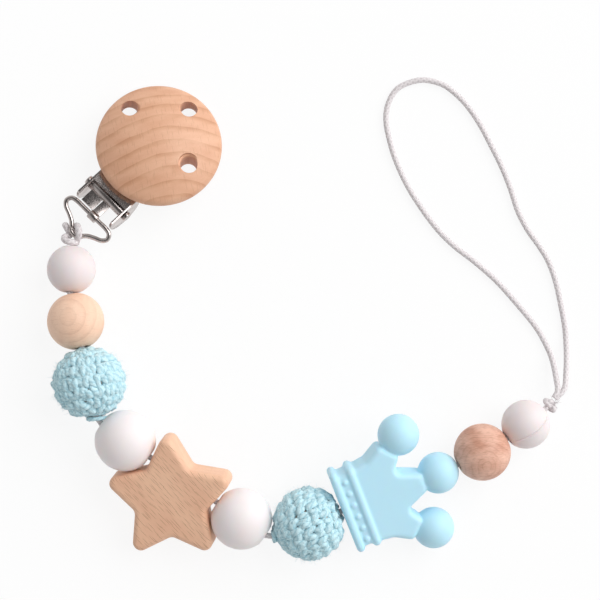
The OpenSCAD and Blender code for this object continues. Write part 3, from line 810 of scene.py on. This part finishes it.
def braided_cord(name, colour, shade_and_tuft_colour):
    """Braided polyester cord: pale strands wound both ways, soft gloss, and painted grey shade between them.
    """
    material, tree, shader = new_material(name)
    one_way = strand_waves(tree, BRAID_STRANDS, BRAID_LAY)
    other_way = strand_waves(tree, BRAID_STRANDS, -BRAID_LAY)
    braid = add(tree, "Math", {0: one_way, 1: other_way}, operation="MAXIMUM")
    # Painted shade: the colour turns grey in the grooves between the strands
    painted_braid_shade = add(
        tree, "MapRange", {"Value": braid, "From Min": 0.35, "From Max": 0.8, "To Min": 0.6, "To Max": 0.0})
    place = add(tree, "TexCoord").outputs["Object"]
    # Single fibres are too fine to show, so tufts of 0.25 mm stand for them
    fibre = add(tree, "TexNoise", {"Vector": place, "Scale": 4 / MM, "Detail": 2.0})
    fibre_depth = add(tree, "MapRange", {"Value": fibre, "From Min": 0.45, "From Max": 0.75, "To Max": 0.25})
    tone = colour
    for depth in (painted_braid_shade, fibre_depth):
        tone = add(tree, "Mix", {0: depth, 6: tone, 7: shade_and_tuft_colour}, data_type="RGBA").outputs[2]
    bump = add(tree, "Bump", {"Height": braid, "Strength": 0.25, "Distance": 0.1 * MM})
    connect(tree, shader, {
        "Base Color": tone, "Normal": bump, "Roughness": 0.6, "IOR": 1.5, "Sheen Weight": 0.2,
        "Sheen Roughness": 0.4})
    return material


# The settings that a user would change

def length_setting(label, what, default):
    """Setting for a length in metres."""
    return bpy.props.FloatProperty(name=label, description=what, default=default, unit="LENGTH")


def colour_setting(label, what, hex_colour):
    """Setting for a colour."""
    return bpy.props.FloatVectorProperty(
        name=label, description="Colour of " + what, subtype="COLOR", size=4, default=linear(hex_colour))


class PacifierClipSettings(bpy.types.PropertyGroup):
    """Sizes and colours of the pacifier clip."""

    cord_diameter: length_setting("Cord diameter", "Diameter of the braided cord", 1.4 * MM)
    yarn_diameter: length_setting("Yarn diameter", "Diameter of the crochet yarn", 1.52 * MM)
    stitch_width: length_setting("Stitch width", "Width of one crochet stitch", 2.6 * MM)
    row_height: length_setting("Row height", "Height of one crochet row", 2.65 * MM)
    cotton_colour: colour_setting("Cotton", "the crochet yarn", "#D6F5FC")
    large_bead_colour: colour_setting("Large silicone beads", "the large silicone beads", "#F4ECEC")
    small_bead_colour: colour_setting("Small silicone beads", "the small silicone beads", "#EBE1E1")
    blue_colour: colour_setting("Blue silicone", "the crown", "#C1ECFE")
    cord_colour: colour_setting("Cord", "the cord", "#E6E0E1")


def settings():
    """The scene's pacifier clip settings."""
    return bpy.context.scene.pacifier_clip


# Cords and knots

def cord_material():
    """The cord's material, which the knots share."""
    return shared("braided_polyester_cord", braided_cord, settings().cord_colour, linear(CORD_SHADE_AND_TUFT))


def braid_radii(line, diameter):
    """Radius of a braid: r * (1 + relief * sin(n (a + w)) * sin(n (a - w))), where w turns once in a lay."""
    angle = np.linspace(0, TURN, CORD_SIDES, endpoint=False)[None]
    wind = TURN * line_lengths(line)[:, None] / BRAID_LAY
    lumps = np.sin(BRAID_STRANDS * (angle + wind)) * np.sin(BRAID_STRANDS * (angle - wind))
    return diameter / 2 * (1 + BRAID_RELIEF * lumps)


def cord_tube(name, line, swell=1.0, rounded_ends=False):
    """A length of cord along a line; rounded ends close in as a half circle over one radius.

    swell is how far a knot opens the cord's braid.
    """
    line = even_line(line, CORD_STEP)
    diameter = swell * settings().cord_diameter
    radii = braid_radii(line, diameter)
    if rounded_ends:
        lengths = line_lengths(line)
        to_end = np.minimum(lengths, lengths[-1] - lengths)
        near = np.clip(to_end / (diameter / 2), CORD_TIP, 1)
        radii = radii * np.sqrt(1 - (1 - near) ** 2)[:, None]
    return tube(name, line, radii, np.broadcast_to(UPWARDS, line.shape))


def loop_knot_frame():
    """Place and own axes of the knot after the last bead: x level, y back along its bore, z up."""
    place, (along, level, up) = bore_frame("silicone_bead_4")
    to_knot = LENGTH_SHARE * SMALL_SILICONE_D / 2 + HALF_GAP + LOOP_KNOT_R
    return place + to_knot * along, np.array([level, -along, up])


def hitch_line(points):
    """Line through points of the hitch, which are in millimetres from the bail's neck."""
    wire, axes = bail_frame()
    neck = wire + BAIL_HALF[-1][1] * MM * axes[1]
    return neck + HITCH_SCALE * smooth_line(np.array(points) * MM, HITCH_STEPS)


def overhand_line():
    """Line of the overhand knot after the last bead, open at its ends.

    In the knot's own axes it is (sin t + 2 sin 2t, cos t - 2 cos 2t, -sin 3t), times its scale.
    """
    t = np.linspace(LOOP_KNOT_OPEN, TURN - LOOP_KNOT_OPEN, KNOT_POINTS)
    across = np.sin(t) + 2 * np.sin(2 * t)
    back = np.cos(t) - 2 * np.cos(2 * t)
    knot = np.stack([across, back, -np.sin(3 * t)], axis=-1)
    return placed(knot * np.array(LOOP_KNOT_SCALE) * MM, loop_knot_frame())


def frayed_end(name):
    """Cut end of the cord at the loop's knot: its strands fan out from one point."""
    pick = np.random.default_rng(FRAY_COUNT)
    ways = unit(np.array(FRAY_WAY) + pick.normal(0, FRAY_SPREAD, (FRAY_COUNT, 3)))
    ways = ways * FRAY_L * pick.uniform(FRAY_SHORTEST, 1.0, (FRAY_COUNT, 1))
    bends = np.cross(ways, pick.normal(0, FRAY_SPREAD, (FRAY_COUNT, 3)))
    root = loop_knot_frame()[0] + np.array(FRAY_FROM) * MM
    return fibres(name, np.repeat(root[None], FRAY_COUNT, axis=0), ways, bends, FRAY_R)


def loop_line():
    """Line of the loop: from the knot's surface down to the table, round, and back to the knot."""
    knot = loop_knot_frame()[0]
    height = settings().cord_diameter / 2 + LOOP_LIFT - knot[2]
    on_table = [(x * MM, y * MM, height) for x, y in LOOP_ON_TABLE]
    route = np.vstack([np.array(LOOP_DOWN) * MM, on_table, np.array(LOOP_UP) * MM])
    ends = unit(route[[0, -1]]) * LOOP_KNOT_R
    return smooth_line(knot + np.vstack([ends[:1], route, ends[1:]]), LOOP_STEPS)


def bead_line():
    """Line of the cord through the beads: straight in each bore, and taut across the corner where the
    lines of two bores come nearest."""
    bores = [bore_frame(piece) for piece in STRING]
    places = np.array([place for place, _ in bores])
    axes = np.array([own_axes[0] for _, own_axes in bores])
    first, second = axes[:-1], axes[1:]
    step = places[1:] - places[:-1]
    square = np.cross(first, second)
    bend = np.sum(square ** 2, axis=1)
    meet = np.sum(np.cross(step, second) * square, axis=1) / np.maximum(bend, PARALLEL)
    half_way = np.sum(step * first, axis=1) / 2
    reach = np.where(bend > PARALLEL, meet, half_way)
    bends = places[:-1] + reach[:, None] * first
    to_start = LENGTH_SHARE * SMALL_SILICONE_D / 2 + HALF_GAP + CORD_TUCK
    start = places[0] - to_start * axes[0]
    end = loop_knot_frame()[0] - (LOOP_KNOT_R - CORD_TUCK) * axes[-1]
    corners = np.stack([bends - CORD_CUT * first, bends + CORD_CUT * second], axis=1)
    return np.vstack([start[None], corners.reshape(-1, 3), end[None]])


class PACIFIERCLIP_OT_cords(bpy.types.Operator):
    """Lays the loop of cord and the cord through the beads"""

    bl_idname = "pacifier_clip.cords"
    bl_label = "Cords"

    def execute(self, context):
        line = loop_line()
        loop = dress(cord_tube("loop_cord", line), cord_material(), "string", "cord", "cord_loop")
        dress(cord_tube("string_cord", bead_line()), cord_material(), "string", "cord", "bead_cord")
        return {"FINISHED"}


class PACIFIERCLIP_OT_knots(bpy.types.Operator):
    """Ties the cord to the bail and knots it after the last bead"""

    bl_idname = "pacifier_clip.knots"
    bl_label = "Knots"

    def execute(self, context):
        hitch = cord_tube("bail_hitch", hitch_line(HITCH_LINE), HITCH_SWELL)
        dress(hitch, cord_material(), "string", "cord", "clip_knot")
        tail = cord_tube("bail_hitch_tail", hitch_line(HITCH_TAIL), HITCH_SWELL, rounded_ends=True)
        dress(tail, cord_material(), "string", "cord")
        knot = cord_tube("loop_knot_turns", overhand_line())
        dress(knot, cord_material(), "string", "cord", "loop_knot")
        dress(frayed_end("loop_knot_tail"), cord_material(), "string", "cord")
        return {"FINISHED"}


# Round beads

def bead_profile(diameter):
    """Half section of a round bead with soft corners: an arc, the flats that cut its ends, and the bore."""
    radius = diameter / 2
    latitude = np.linspace(-1, 1, LATITUDES) * math.asin(LENGTH_SHARE)
    arc = radius * np.stack([np.sin(latitude), np.cos(latitude)], axis=-1)
    half = LENGTH_SHARE * radius
    return softened(np.vstack([arc, [[half, BORE_R], [-half, BORE_R]]]), BEAD_CORNER, PROFILE_POINTS)


def mould_line(angle_at, height):
    """Swelling of a moulded bead along its parting, on two opposite meridians: a ridge and a groove.

    At the distance d from the parting it is height * (exp(-(d / w - 1)^2) - exp(-(d / w + 1)^2)), with the
    width w, and it fades out towards the bore.
    """
    def swell(profile, angle):
        off = (angle[None] - angle_at + QUARTER) % math.pi - QUARTER
        outer = np.clip((profile[:, 1:] - 2 * BORE_R) / BORE_R, 0, 1)
        widths = off * profile[:, 1:] / MOULD_LINE_W
        return outer * height * (np.exp(-(widths - 1) ** 2) - np.exp(-(widths + 1) ** 2))
    return swell


class PACIFIERCLIP_OT_silicone_beads(bpy.types.Operator):
    """Moulds the four round silicone beads"""

    bl_idname = "pacifier_clip.silicone_beads"
    bl_label = "Silicone beads"

    def execute(self, context):
        for name, (diameter, colour, degrees, height) in SILICONE_BEADS.items():
            material = shared("moulded_silicone_" + colour, moulded_silicone, getattr(settings(), colour))
            bead = turned(
                "moulded_" + name, bead_profile(diameter), bore_frame(name), MOULDED_SIDES,
                mould_line(math.radians(degrees), height * MM))
            dress(bead, material, name, "pale_silicone", name)
        return {"FINISHED"}


class PACIFIERCLIP_OT_wooden_beads(bpy.types.Operator):
    """Turns the two round wooden beads"""

    bl_idname = "pacifier_clip.wooden_beads"
    bl_label = "Wooden beads"

    def execute(self, context):
        for name, (slot, wood, pith) in WOODEN_BEADS.items():
            own_frame = bore_frame(name)
            bead = turned("turned_" + name, bead_profile(WOOD_BEAD_D), own_frame)
            dress(bead, beech("turned_" + slot, wood, own_frame[0] + pith, END_GRAIN), name, slot, name)
        return {"FINISHED"}


# Crocheted beads

def closing_turns(last, turns, way):
    """Turns of yarn around the bore after a cover's last point: a screw of one radius that leaves the cover.

    Its pitch is in yarns for each turn. way is 1 where the yarn goes on and -1 where it came from.
    """
    turn = np.linspace(0, 1, round(turns * CLOSING_STEPS), endpoint=False)[1:] * turns
    angle = math.atan2(last[2], last[1]) + way * TURN * turn
    radius = math.hypot(last[1], last[2])
    along = last[0] + math.copysign(CLOSING_PITCH * settings().yarn_diameter, last[0]) * turn
    fatness = np.full(len(turn), last[3])
    return np.stack([along, radius * np.cos(angle), radius * np.sin(angle), fatness], axis=-1)


def yarn_line(number):
    """Line of the yarn in a bead's own frame, with its fatness: stitches on a spiral over a sphere.

    The spiral covers the sphere evenly: at the length s along it the angle from the pole is
    arccos(cos t0 - s p / (2 pi R^2)), with the row height p, and it goes once round for each row. A stitch's
    points are x stitches along the spiral, y rows across it and z yarns out of the sphere.
    """
    pick = np.random.default_rng(number)
    width, row, yarn = settings().stitch_width, settings().row_height, settings().yarn_diameter
    run = TURN * YARN_SPHERE_R ** 2 / row
    count = int(2 * math.cos(CROCHET_OPEN) * run / width)
    points = np.repeat(np.array(STITCH)[None], count, axis=0)
    points[:, :, 0] += STITCH_SLANT * points[:, :, 1]
    points += pick.normal(0, STITCH_JITTER, points.shape)
    points[:, :, 0] += np.arange(count)[:, None]
    x, y, z, fatness = points.reshape(-1, 4).T
    across = np.arccos(np.clip(math.cos(CROCHET_OPEN) - x * width / run, -1, 1))
    around = TURN * YARN_SPHERE_R / row * across
    across = across + y * row / YARN_SPHERE_R
    out = YARN_SPHERE_R + z * yarn
    from_bore = out * np.sin(across)
    rounds = np.stack([
        YARN_SHARE * out * np.cos(across), from_bore * np.cos(around), from_bore * np.sin(around), fatness],
        axis=-1)
    start, end = CLOSING_TURNS[number]
    return np.vstack([closing_turns(rounds[0], start, -1)[::-1], rounds, closing_turns(rounds[-1], end, 1)])


def yarn_radii(line, fatness, diameter, seed):
    """Radius of a yarn of n plies: r * fatness * (1 + relief * cos(n (a + w)) + fuzz).

    w turns once in each lay, and fuzz is a small random roughness of the fibres.
    """
    angle = np.linspace(0, TURN, YARN_SIDES, endpoint=False)[None]
    wind = TURN * line_lengths(line)[:, None] / YARN_LAY
    fuzz = np.random.default_rng(seed).normal(0, YARN_FUZZ, (len(line), YARN_SIDES))
    return diameter / 2 * fatness[:, None] * (1 + YARN_RELIEF * np.cos(YARN_PLIES * (angle + wind)) + fuzz)


def cotton_fuzz(name, line, own_frame, seed):
    """Loose fibres that stand out of the yarn, away from the table and from the bead's neighbours."""
    pick = np.random.default_rng(seed)
    out = unit(line)
    free = np.flatnonzero((np.abs(out[:, 0]) < FUZZ_TO_BORE) & ((out @ own_frame[1])[:, 2] > FUZZ_LOWEST))
    chosen = pick.choice(free, FUZZ_COUNT)
    ways = FUZZ_L * unit(out[chosen] + pick.normal(0, FUZZ_LEAN, (FUZZ_COUNT, 3)))
    bends = np.cross(ways, pick.normal(0, FUZZ_BEND, (FUZZ_COUNT, 3)))
    return move(fibres(name, line[chosen], ways, bends, FUZZ_R), own_frame)


class PACIFIERCLIP_OT_crocheted_beads(bpy.types.Operator):
    """Crochets the covers of the two crocheted beads"""

    bl_idname = "pacifier_clip.crocheted_beads"
    bl_label = "Crocheted beads"

    def execute(self, context):
        cotton = spun_cotton("spun_cotton_yarn", settings().cotton_colour, linear(COTTON_SHADE_AND_TUFT))
        for number in CLOSING_TURNS:
            body = f"crochet_{number}"
            own_frame = bore_frame(body)
            yarn = smooth_line(yarn_line(number), YARN_STEPS)
            # The fatness is made small here, so that it counts for little in the line's length
            yarn = even_line(yarn * [1, 1, 1, MM], YARN_STEP)
            line = yarn[:, :3]
            radii = yarn_radii(line, yarn[:, 3] / MM, settings().yarn_diameter, number)
            cover = tube(f"crochet_yarn_{number}", placed(line, own_frame), radii, unit(line) @ own_frame[1])
            dress(cover, cotton, body, "blue_cotton", f"crochet_cover_{number}")
            fuzz = cotton_fuzz(f"crochet_fuzz_{number}", line, own_frame, number)
            dress(fuzz, cotton, body, "blue_cotton")
            core = beech(f"turned_beech_core_{number}", DISC_WOOD, own_frame[0] + CORE_PITH, END_GRAIN)
            paint(f"crochet_core_{number}", core)
        return {"FINISHED"}


# Star and crown

def pebble(name, corners, corner_round, thickness, edge, rim=0.0, ways=(0, 1, 2)):
    """Flat piece with rounded edges: its outline moves in by edge * (1 - sin a) at edge * (1 - cos a) from
    each face.

    rim is the width of a flat strip before the face. ways names the own axes of the outline's x and y and of
    the height.
    """
    turn = np.linspace(0, QUARTER, EDGE_STEPS)
    inset = edge * (1 - np.sin(turn))
    height = thickness / 2 - edge * (1 - np.cos(turn))
    if rim:
        inset = np.append(edge + rim, inset)
        height = np.append(thickness / 2, height)
    insets = np.append(inset, inset[::-1])[::-1]
    heights = np.append(height, -height[::-1])[::-1]
    rows = np.array([rounded_outline(corners, corner_round, step, CORNER_STEPS) for step in insets])
    count, sides, _ = rows.shape
    levels = np.repeat(heights[:, None, None], sides, axis=1)
    points = np.concatenate([rows, levels], axis=2)[:, :, np.argsort(ways)]
    quads, _, _ = grid_quads(count, sides, False)
    return new_object(name, points, quads.tolist() + end_caps(count, sides))


def rod(name, radius, length):
    """Cutter for a bore: a round rod along its own x, turned from a straight profile with closed ends."""
    half = length / 2
    profile = np.array([[-half, 0.0], [-half, radius], [half, radius], [half, 0.0]])
    return turned(name, profile, AT_ORIGIN, CUTTER_SIDES, closed=False)


def star_corners():
    """Corners of the star about its bore: notches and tips in turn."""
    number = np.arange(2 * STAR_TIPS)
    angle = STAR_FIRST_NOTCH + number * math.pi / STAR_TIPS
    radius = np.where(number % 2, STAR_POINT_R, STAR_NOTCH_R)
    corners = np.stack([radius * np.cos(angle), radius * np.sin(angle)], axis=-1)
    return corners - np.array([0.0, STAR_BORE_OFFSET])


class PACIFIERCLIP_OT_star(bpy.types.Operator):
    """Saws and sands the wooden star"""

    bl_idname = "pacifier_clip.star"
    bl_label = "Star"

    def execute(self, context):
        own_frame = bore_frame("star", STAR_ROLL)
        star = pebble("sawn_star", star_corners(), STAR_CORNER_ROUND, STAR_T, STAR_EDGE_ROUND, STAR_RIM)
        cut(star, rod("star_bore", BORE_R, BORE_CUT * STAR_POINT_R))
        crease(move(star, own_frame), SHARP_DEGREES)
        place, (_, _, face) = own_frame
        grain = np.array([math.cos(STAR_GRAIN), math.sin(STAR_GRAIN), 0.0])
        grain = unit(grain - grain @ face * face)
        axes = np.array([face, np.cross(grain, face), grain])
        wood = beech("sawn_beech_star", STAR_WOOD, place - STAR_PITH * face, axes, FLAT_SAWN)
        dress(star, wood, "star", "beech", "wood_star")
        return {"FINISHED"}


def ball(name, place, diameter, sides):
    """Ball turned from a half circle: (along, radius) = r * (-cos t, sin t)."""
    turn = np.linspace(0, math.pi, sides // 2 + 1)
    profile = diameter / 2 * np.stack([-np.cos(turn), np.sin(turn)], axis=-1)
    return turned(name, profile, (np.array(place), np.eye(3)), sides, closed=False)


def joined(name, objects):
    """One object with the meshes of several; the several are removed."""
    work = bmesh.new()
    for obj in objects:
        work.from_mesh(obj.data)
        bpy.data.objects.remove(obj)
    return shown_work(name, work)


def crown_pieces():
    """The crown's plate, ridges, pearls and balls in its own frame: x along the bore from the base, z out."""
    half = np.array(CROWN_HALF) * MM
    corners = np.vstack([half * [1, -1], half[::-1]])
    pieces = [pebble("plate", corners, CROWN_CORNER_ROUND, CROWN_T, CROWN_EDGE_ROUND)]
    bar = np.array([[-1, -1], [1, -1], [1, 1], [-1, 1]]) * [RIDGE_W / 2, RIDGE_T / 2]
    for start in (0.0, RIDGE_STEP):
        ridge = pebble("ridge", bar, RIDGE_CORNER_R, RIDGE_L, RIDGE_L * RIDGE_EDGE_SHARE, ways=(1, 2, 0))
        pieces.append(move(ridge, (np.array([start + RIDGE_L / 2, 0.0, 0.0]), np.eye(3))))
    along = (RIDGE_L + RIDGE_STEP) / 2
    for k in range(PEARL_COUNT):
        across = (k - (PEARL_COUNT - 1) / 2) * PEARL_STEP
        for out in (-PEARL_OUT, PEARL_OUT):
            pieces.append(ball("pearl", [along, across, out], PEARL_D, PEARL_SIDES))
    for along, across in ((CROWN_MIDDLE_L, 0.0), (CROWN_SIDE_L, CROWN_SIDE_W), (CROWN_SIDE_L, -CROWN_SIDE_W)):
        pieces.append(ball("ball", [along, across, 0.0], CROWN_BALL_D, BALL_SIDES))
    return pieces


class PACIFIERCLIP_OT_crown(bpy.types.Operator):
    """Moulds the silicone crown as one skin over its plate, ridges, pearls and balls"""

    bl_idname = "pacifier_clip.crown"
    bl_label = "Crown"

    def execute(self, context):
        crown = joined("moulded_crown", crown_pieces())
        remesh = crown.modifiers.new("one_skin", "REMESH")
        remesh.mode = "VOXEL"
        remesh.voxel_size = CROWN_VOXEL
        soft = crown.modifiers.new("soft_edges", "SMOOTH")
        soft.factor = CROWN_SMOOTH_SHARE
        soft.iterations = CROWN_SMOOTHING
        finished_mesh(crown)
        cut(crown, rod("crown_bore", BORE_R, BORE_CUT * CROWN_MIDDLE_L))
        smooth(crown.data)
        move(crown, bore_frame("crown", CROWN_ROLL))
        silicone = moulded_silicone("moulded_silicone_blue", settings().blue_colour)
        dress(crown, silicone, "crown", "blue_silicone", "crown")
        return {"FINISHED"}


# Clip

def disc_profile():
    """Half section of the disc: the flat back, the rim's arc and the dome's arc, which meets it smoothly."""
    middle_r = DISC_R - DISC_RIM_R
    dome_rise = DISC_H - 2 * DISC_RIM_R
    dome_r = (middle_r ** 2 + dome_rise ** 2) / (2 * dome_rise) + DISC_RIM_R
    meets = math.asin(middle_r / (dome_r - DISC_RIM_R))
    rim_turn = np.linspace(-QUARTER, QUARTER - meets, RIM_STEPS)
    rim = np.stack([DISC_RIM_R * (1 + np.sin(rim_turn)), middle_r + DISC_RIM_R * np.cos(rim_turn)], axis=-1)
    dome_turn = np.linspace(meets, 0, DOME_STEPS)[1:]
    dome = np.stack([DISC_H - dome_r * (1 - np.cos(dome_turn)), dome_r * np.sin(dome_turn)], axis=-1)
    return np.vstack([[[0.0, 0.0]], rim, dome])


def vent_cutter(name, own_frame):
    """Cutter for a vent: a round rod that flares by a quarter circle at the dome and at the back.

    The flare at the back ends just outside the disc, so that no ring of the cutter lies on the flat back.
    """
    turn = np.linspace(0, QUARTER, FLARE_STEPS)
    flare = VENT_FLARE * np.stack([np.sin(turn), 1 - np.cos(turn)], axis=-1)
    upper = flare + [VENT_DOME_H - VENT_FLARE, VENT_D / 2]
    lower = (flare * [-1, 1] + [VENT_FLARE - VENT_PROUD, VENT_D / 2])[::-1]
    start = [[-VENT_BEYOND, 0.0], [-VENT_BEYOND, lower[0, 1]]]
    end = [[DISC_H + VENT_BEYOND, upper[-1, 1]], [DISC_H + VENT_BEYOND, 0.0]]
    return turned(name, np.vstack([start, lower, upper, end]), own_frame, CUTTER_SIDES, closed=False)


class PACIFIERCLIP_OT_disc(bpy.types.Operator):
    """Turns the wooden disc and drills its vents"""

    bl_idname = "pacifier_clip.disc"
    bl_label = "Clip disc"

    def execute(self, context):
        place, (to_bail, along_pin, out) = clip_frame()
        axes = np.array([out, to_bail, along_pin])
        disc = turned("turned_disc", disc_profile(), (place, axes), DISC_SIDES, closed=False)
        vents = []
        for angle in np.radians(VENT_DEGREES):
            from_middle = VENT_R * np.array([math.cos(angle), math.sin(angle)]) + VENT_SHIFT
            vents.append(vent_cutter("vent", (place + from_middle @ axes[1:], axes)))
        crease(cut(disc, *vents), VENT_SHARP_DEGREES)
        from_pith = unit(-DISC_PITH + DISC_PITH @ out * out)
        grain = np.array([from_pith, np.cross(out, from_pith), out])
        wood = beech("turned_beech_disc", DISC_WOOD, place + DISC_PITH, grain)
        dress(disc, wood, "clip", "beech", "wood_disc")
        return {"FINISHED"}


def steel_material():
    """The steel of the clamp and of the bail."""
    return shared("nickel_plated_steel", plated_steel, linear(STEEL), linear(STEEL_SMUDGE))


def bevelled_copy(node, name, width):
    """Copy of a CAD node whose flat faces are made whole and whose sharp edges are rounded off."""
    work = bmesh.new()
    work.from_mesh(frame["nodes"][node].data)
    bmesh.ops.remove_doubles(work, verts=work.verts, dist=MERGE)
    flat = math.radians(FLAT_DEGREES)
    bmesh.ops.dissolve_limit(work, angle_limit=flat, verts=work.verts, edges=work.edges)
    obj = shown_work(name, work)
    bevel = obj.modifiers.new("rounded_edges", "BEVEL")
    bevel.width = width
    bevel.segments = BEVEL_SEGMENTS
    bevel.limit_method = "ANGLE"
    bevel.angle_limit = math.radians(SHARP_DEGREES)
    bevel.harden_normals = True
    return finished_mesh(obj)


class PACIFIERCLIP_OT_clamp(bpy.types.Operator):
    """Presses the steel clamp and sets its pad, screws and pin"""

    bl_idname = "pacifier_clip.clamp"
    bl_label = "Clamp"

    def execute(self, context):
        for node, body, name, width in CLAMP_PIECES:
            dress(bevelled_copy(node, name, width), steel_material(), body, "steel", node)
        paint("clip_screws", steel_material())
        paint("jaw_pad", moulded_plastic("moulded_plastic_pad", linear(PAD)))
        return {"FINISHED"}


def bent_wire(name):
    """Wire bent along the bail's outline, with a groove where its two ends butt.

    At the length s along the wire its radius is r * (1 - depth * exp(-((s - butt) / width)^2)).
    """
    half = np.array(BAIL_HALF) * MM
    outline = np.vstack([half, half[-2:0:-1] * [-1, 1]])
    wire, axes = bail_frame()
    line = wire + smooth_line(outline, BAIL_STEPS, closed=True) @ axes[:2]
    lengths = line_lengths(line)
    groove = 1 - BUTT_DEPTH * np.exp(-((lengths - BUTT_AT * lengths[-1]) / BUTT_W) ** 2)
    radii = np.repeat(WIRE_R * groove[:, None], WIRE_SIDES, axis=1)
    return tube(name, line, radii, np.broadcast_to(axes[2], line.shape), closed=True)


class PACIFIERCLIP_OT_bail(bpy.types.Operator):
    """Bends the wire bail"""

    bl_idname = "pacifier_clip.bail"
    bl_label = "Wire bail"

    def execute(self, context):
        dress(bent_wire("bent_bail"), steel_material(), "string", "steel", "wire_bail")
        return {"FINISHED"}


# Stage

def bright_floor(name):
    """Matt white paper: to the eye nearly pure white, and it still takes the object's shadow."""
    material, tree, both = new_material(name, "MixShader")
    paper = add(tree, "BsdfDiffuse", {"Color": linear(PAPER)})
    glow = add(tree, "Emission", {"Color": linear(PAPER), "Strength": 1.0})
    path = add(tree, "LightPath").outputs
    seen = path["Is Camera Ray"]
    for ray in ("Is Glossy Ray", "Is Transmission Ray"):
        seen = add(tree, "Math", {0: seen, 1: path[ray]}, operation="MAXIMUM")
    share = add(tree, "Math", {0: seen, 1: FLOOR_GLOW}, operation="MULTIPLY")
    connect(tree, both, {0: share, 1: paper, 2: glow})
    return material


def soft_lamp(name, size, power, azimuth, elevation, mirrored):
    """Round area lamp that looks at the middle of the table from the given angles in degrees."""
    lamp = bpy.data.lights.new(name, "AREA")
    lamp.shape = "DISK"
    lamp.size = size
    lamp.energy = power
    obj = bpy.data.objects.new(name, lamp)
    around, up = math.radians(azimuth), math.radians(elevation)
    way = (math.cos(around) * math.cos(up), math.sin(around) * math.cos(up), math.sin(up))
    obj.location = LAMP_DISTANCE * np.array(way)
    obj.rotation_euler = (QUARTER - up, 0.0, around + QUARTER)
    obj.visible_glossy = mirrored
    return obj


def studio(name):
    """World of a white room with a dark ceiling around the camera, which flat metal mirrors."""
    world = bpy.data.worlds.new(name)
    world.use_nodes = True
    tree = world.node_tree
    tree.nodes.clear()
    way = add(tree, "TexCoord").outputs["Generated"]
    height = add(tree, "SeparateXYZ", {"Vector": way}).outputs["Z"]
    strength = add(
        tree, "MapRange",
        {"Value": height, "From Min": CEILING_FROM, "From Max": CEILING_FULL, "To Min": SKY_STRENGTH,
         "To Max": CEILING_STRENGTH})
    sky = add(tree, "Background", {"Color": linear(SKY), "Strength": strength})
    add(tree, "OutputWorld", {"Surface": sky})
    return world


class PACIFIERCLIP_OT_stage(bpy.types.Operator):
    """Sets up the floor, the lamps, the world and the camera"""

    bl_idname = "pacifier_clip.stage"
    bl_label = "Stage"

    def execute(self, context):
        scene = context.scene
        corners = FLOOR_HALF * np.array([[-1, -1, 0], [1, -1, 0], [1, 1, 0], [-1, 1, 0]])
        floor = new_object("floor", corners - FLOOR_GAP * UPWARDS, [[0, 1, 2, 3]])
        floor.data.materials.append(bright_floor("white_paper"))
        for name, setting in LAMPS.items():
            scene.collection.objects.link(soft_lamp(name, *setting))
        scene.world = studio("studio")
        camera = bpy.data.cameras.new("from_above")
        camera.angle = math.radians(CAMERA_DEGREES)
        camera.clip_start = CAMERA_NEAR
        camera_object = bpy.data.objects.new("from_above", camera)
        camera_object.location = CAMERA_AT
        scene.collection.objects.link(camera_object)
        scene.camera = camera_object
        scene.view_settings.view_transform = "Standard"
        return {"FINISHED"}


OPERATORS = (
    PACIFIERCLIP_OT_stage,
    PACIFIERCLIP_OT_cords,
    PACIFIERCLIP_OT_knots,
    PACIFIERCLIP_OT_silicone_beads,
    PACIFIERCLIP_OT_wooden_beads,
    PACIFIERCLIP_OT_crocheted_beads,
    PACIFIERCLIP_OT_star,
    PACIFIERCLIP_OT_crown,
    PACIFIERCLIP_OT_disc,
    PACIFIERCLIP_OT_clamp,
    PACIFIERCLIP_OT_bail,
)


class PACIFIERCLIP_PT_panel(bpy.types.Panel):
    """Lists the clip's settings and its pieces"""

    bl_idname = "PACIFIERCLIP_PT_panel"
    bl_label = "Pacifier clip"
    bl_space_type = "VIEW_3D"
    bl_region_type = "UI"
    bl_category = "Pacifier clip"

    def draw(self, context):
        for name in PacifierClipSettings.__annotations__:
            self.layout.prop(context.scene.pacifier_clip, name)
        for operator in OPERATORS:
            self.layout.operator(operator.bl_idname)


CLASSES = (PacifierClipSettings, *OPERATORS, PACIFIERCLIP_PT_panel)


def register():
    """Registers the classes and puts the settings on the scene."""
    for item in CLASSES:
        bpy.utils.register_class(item)
    bpy.types.Scene.pacifier_clip = bpy.props.PointerProperty(type=PacifierClipSettings)


def unregister():
    """Takes the settings off the scene and unregisters the classes."""
    del bpy.types.Scene.pacifier_clip
    for item in reversed(CLASSES):
        bpy.utils.unregister_class(item)


def main():
    """Builds every piece in order."""
    register()
    for operator in OPERATORS:
        getattr(bpy.ops.pacifier_clip, operator.bl_idname.split(".")[1])()


if __name__ == "__main__":
    main()
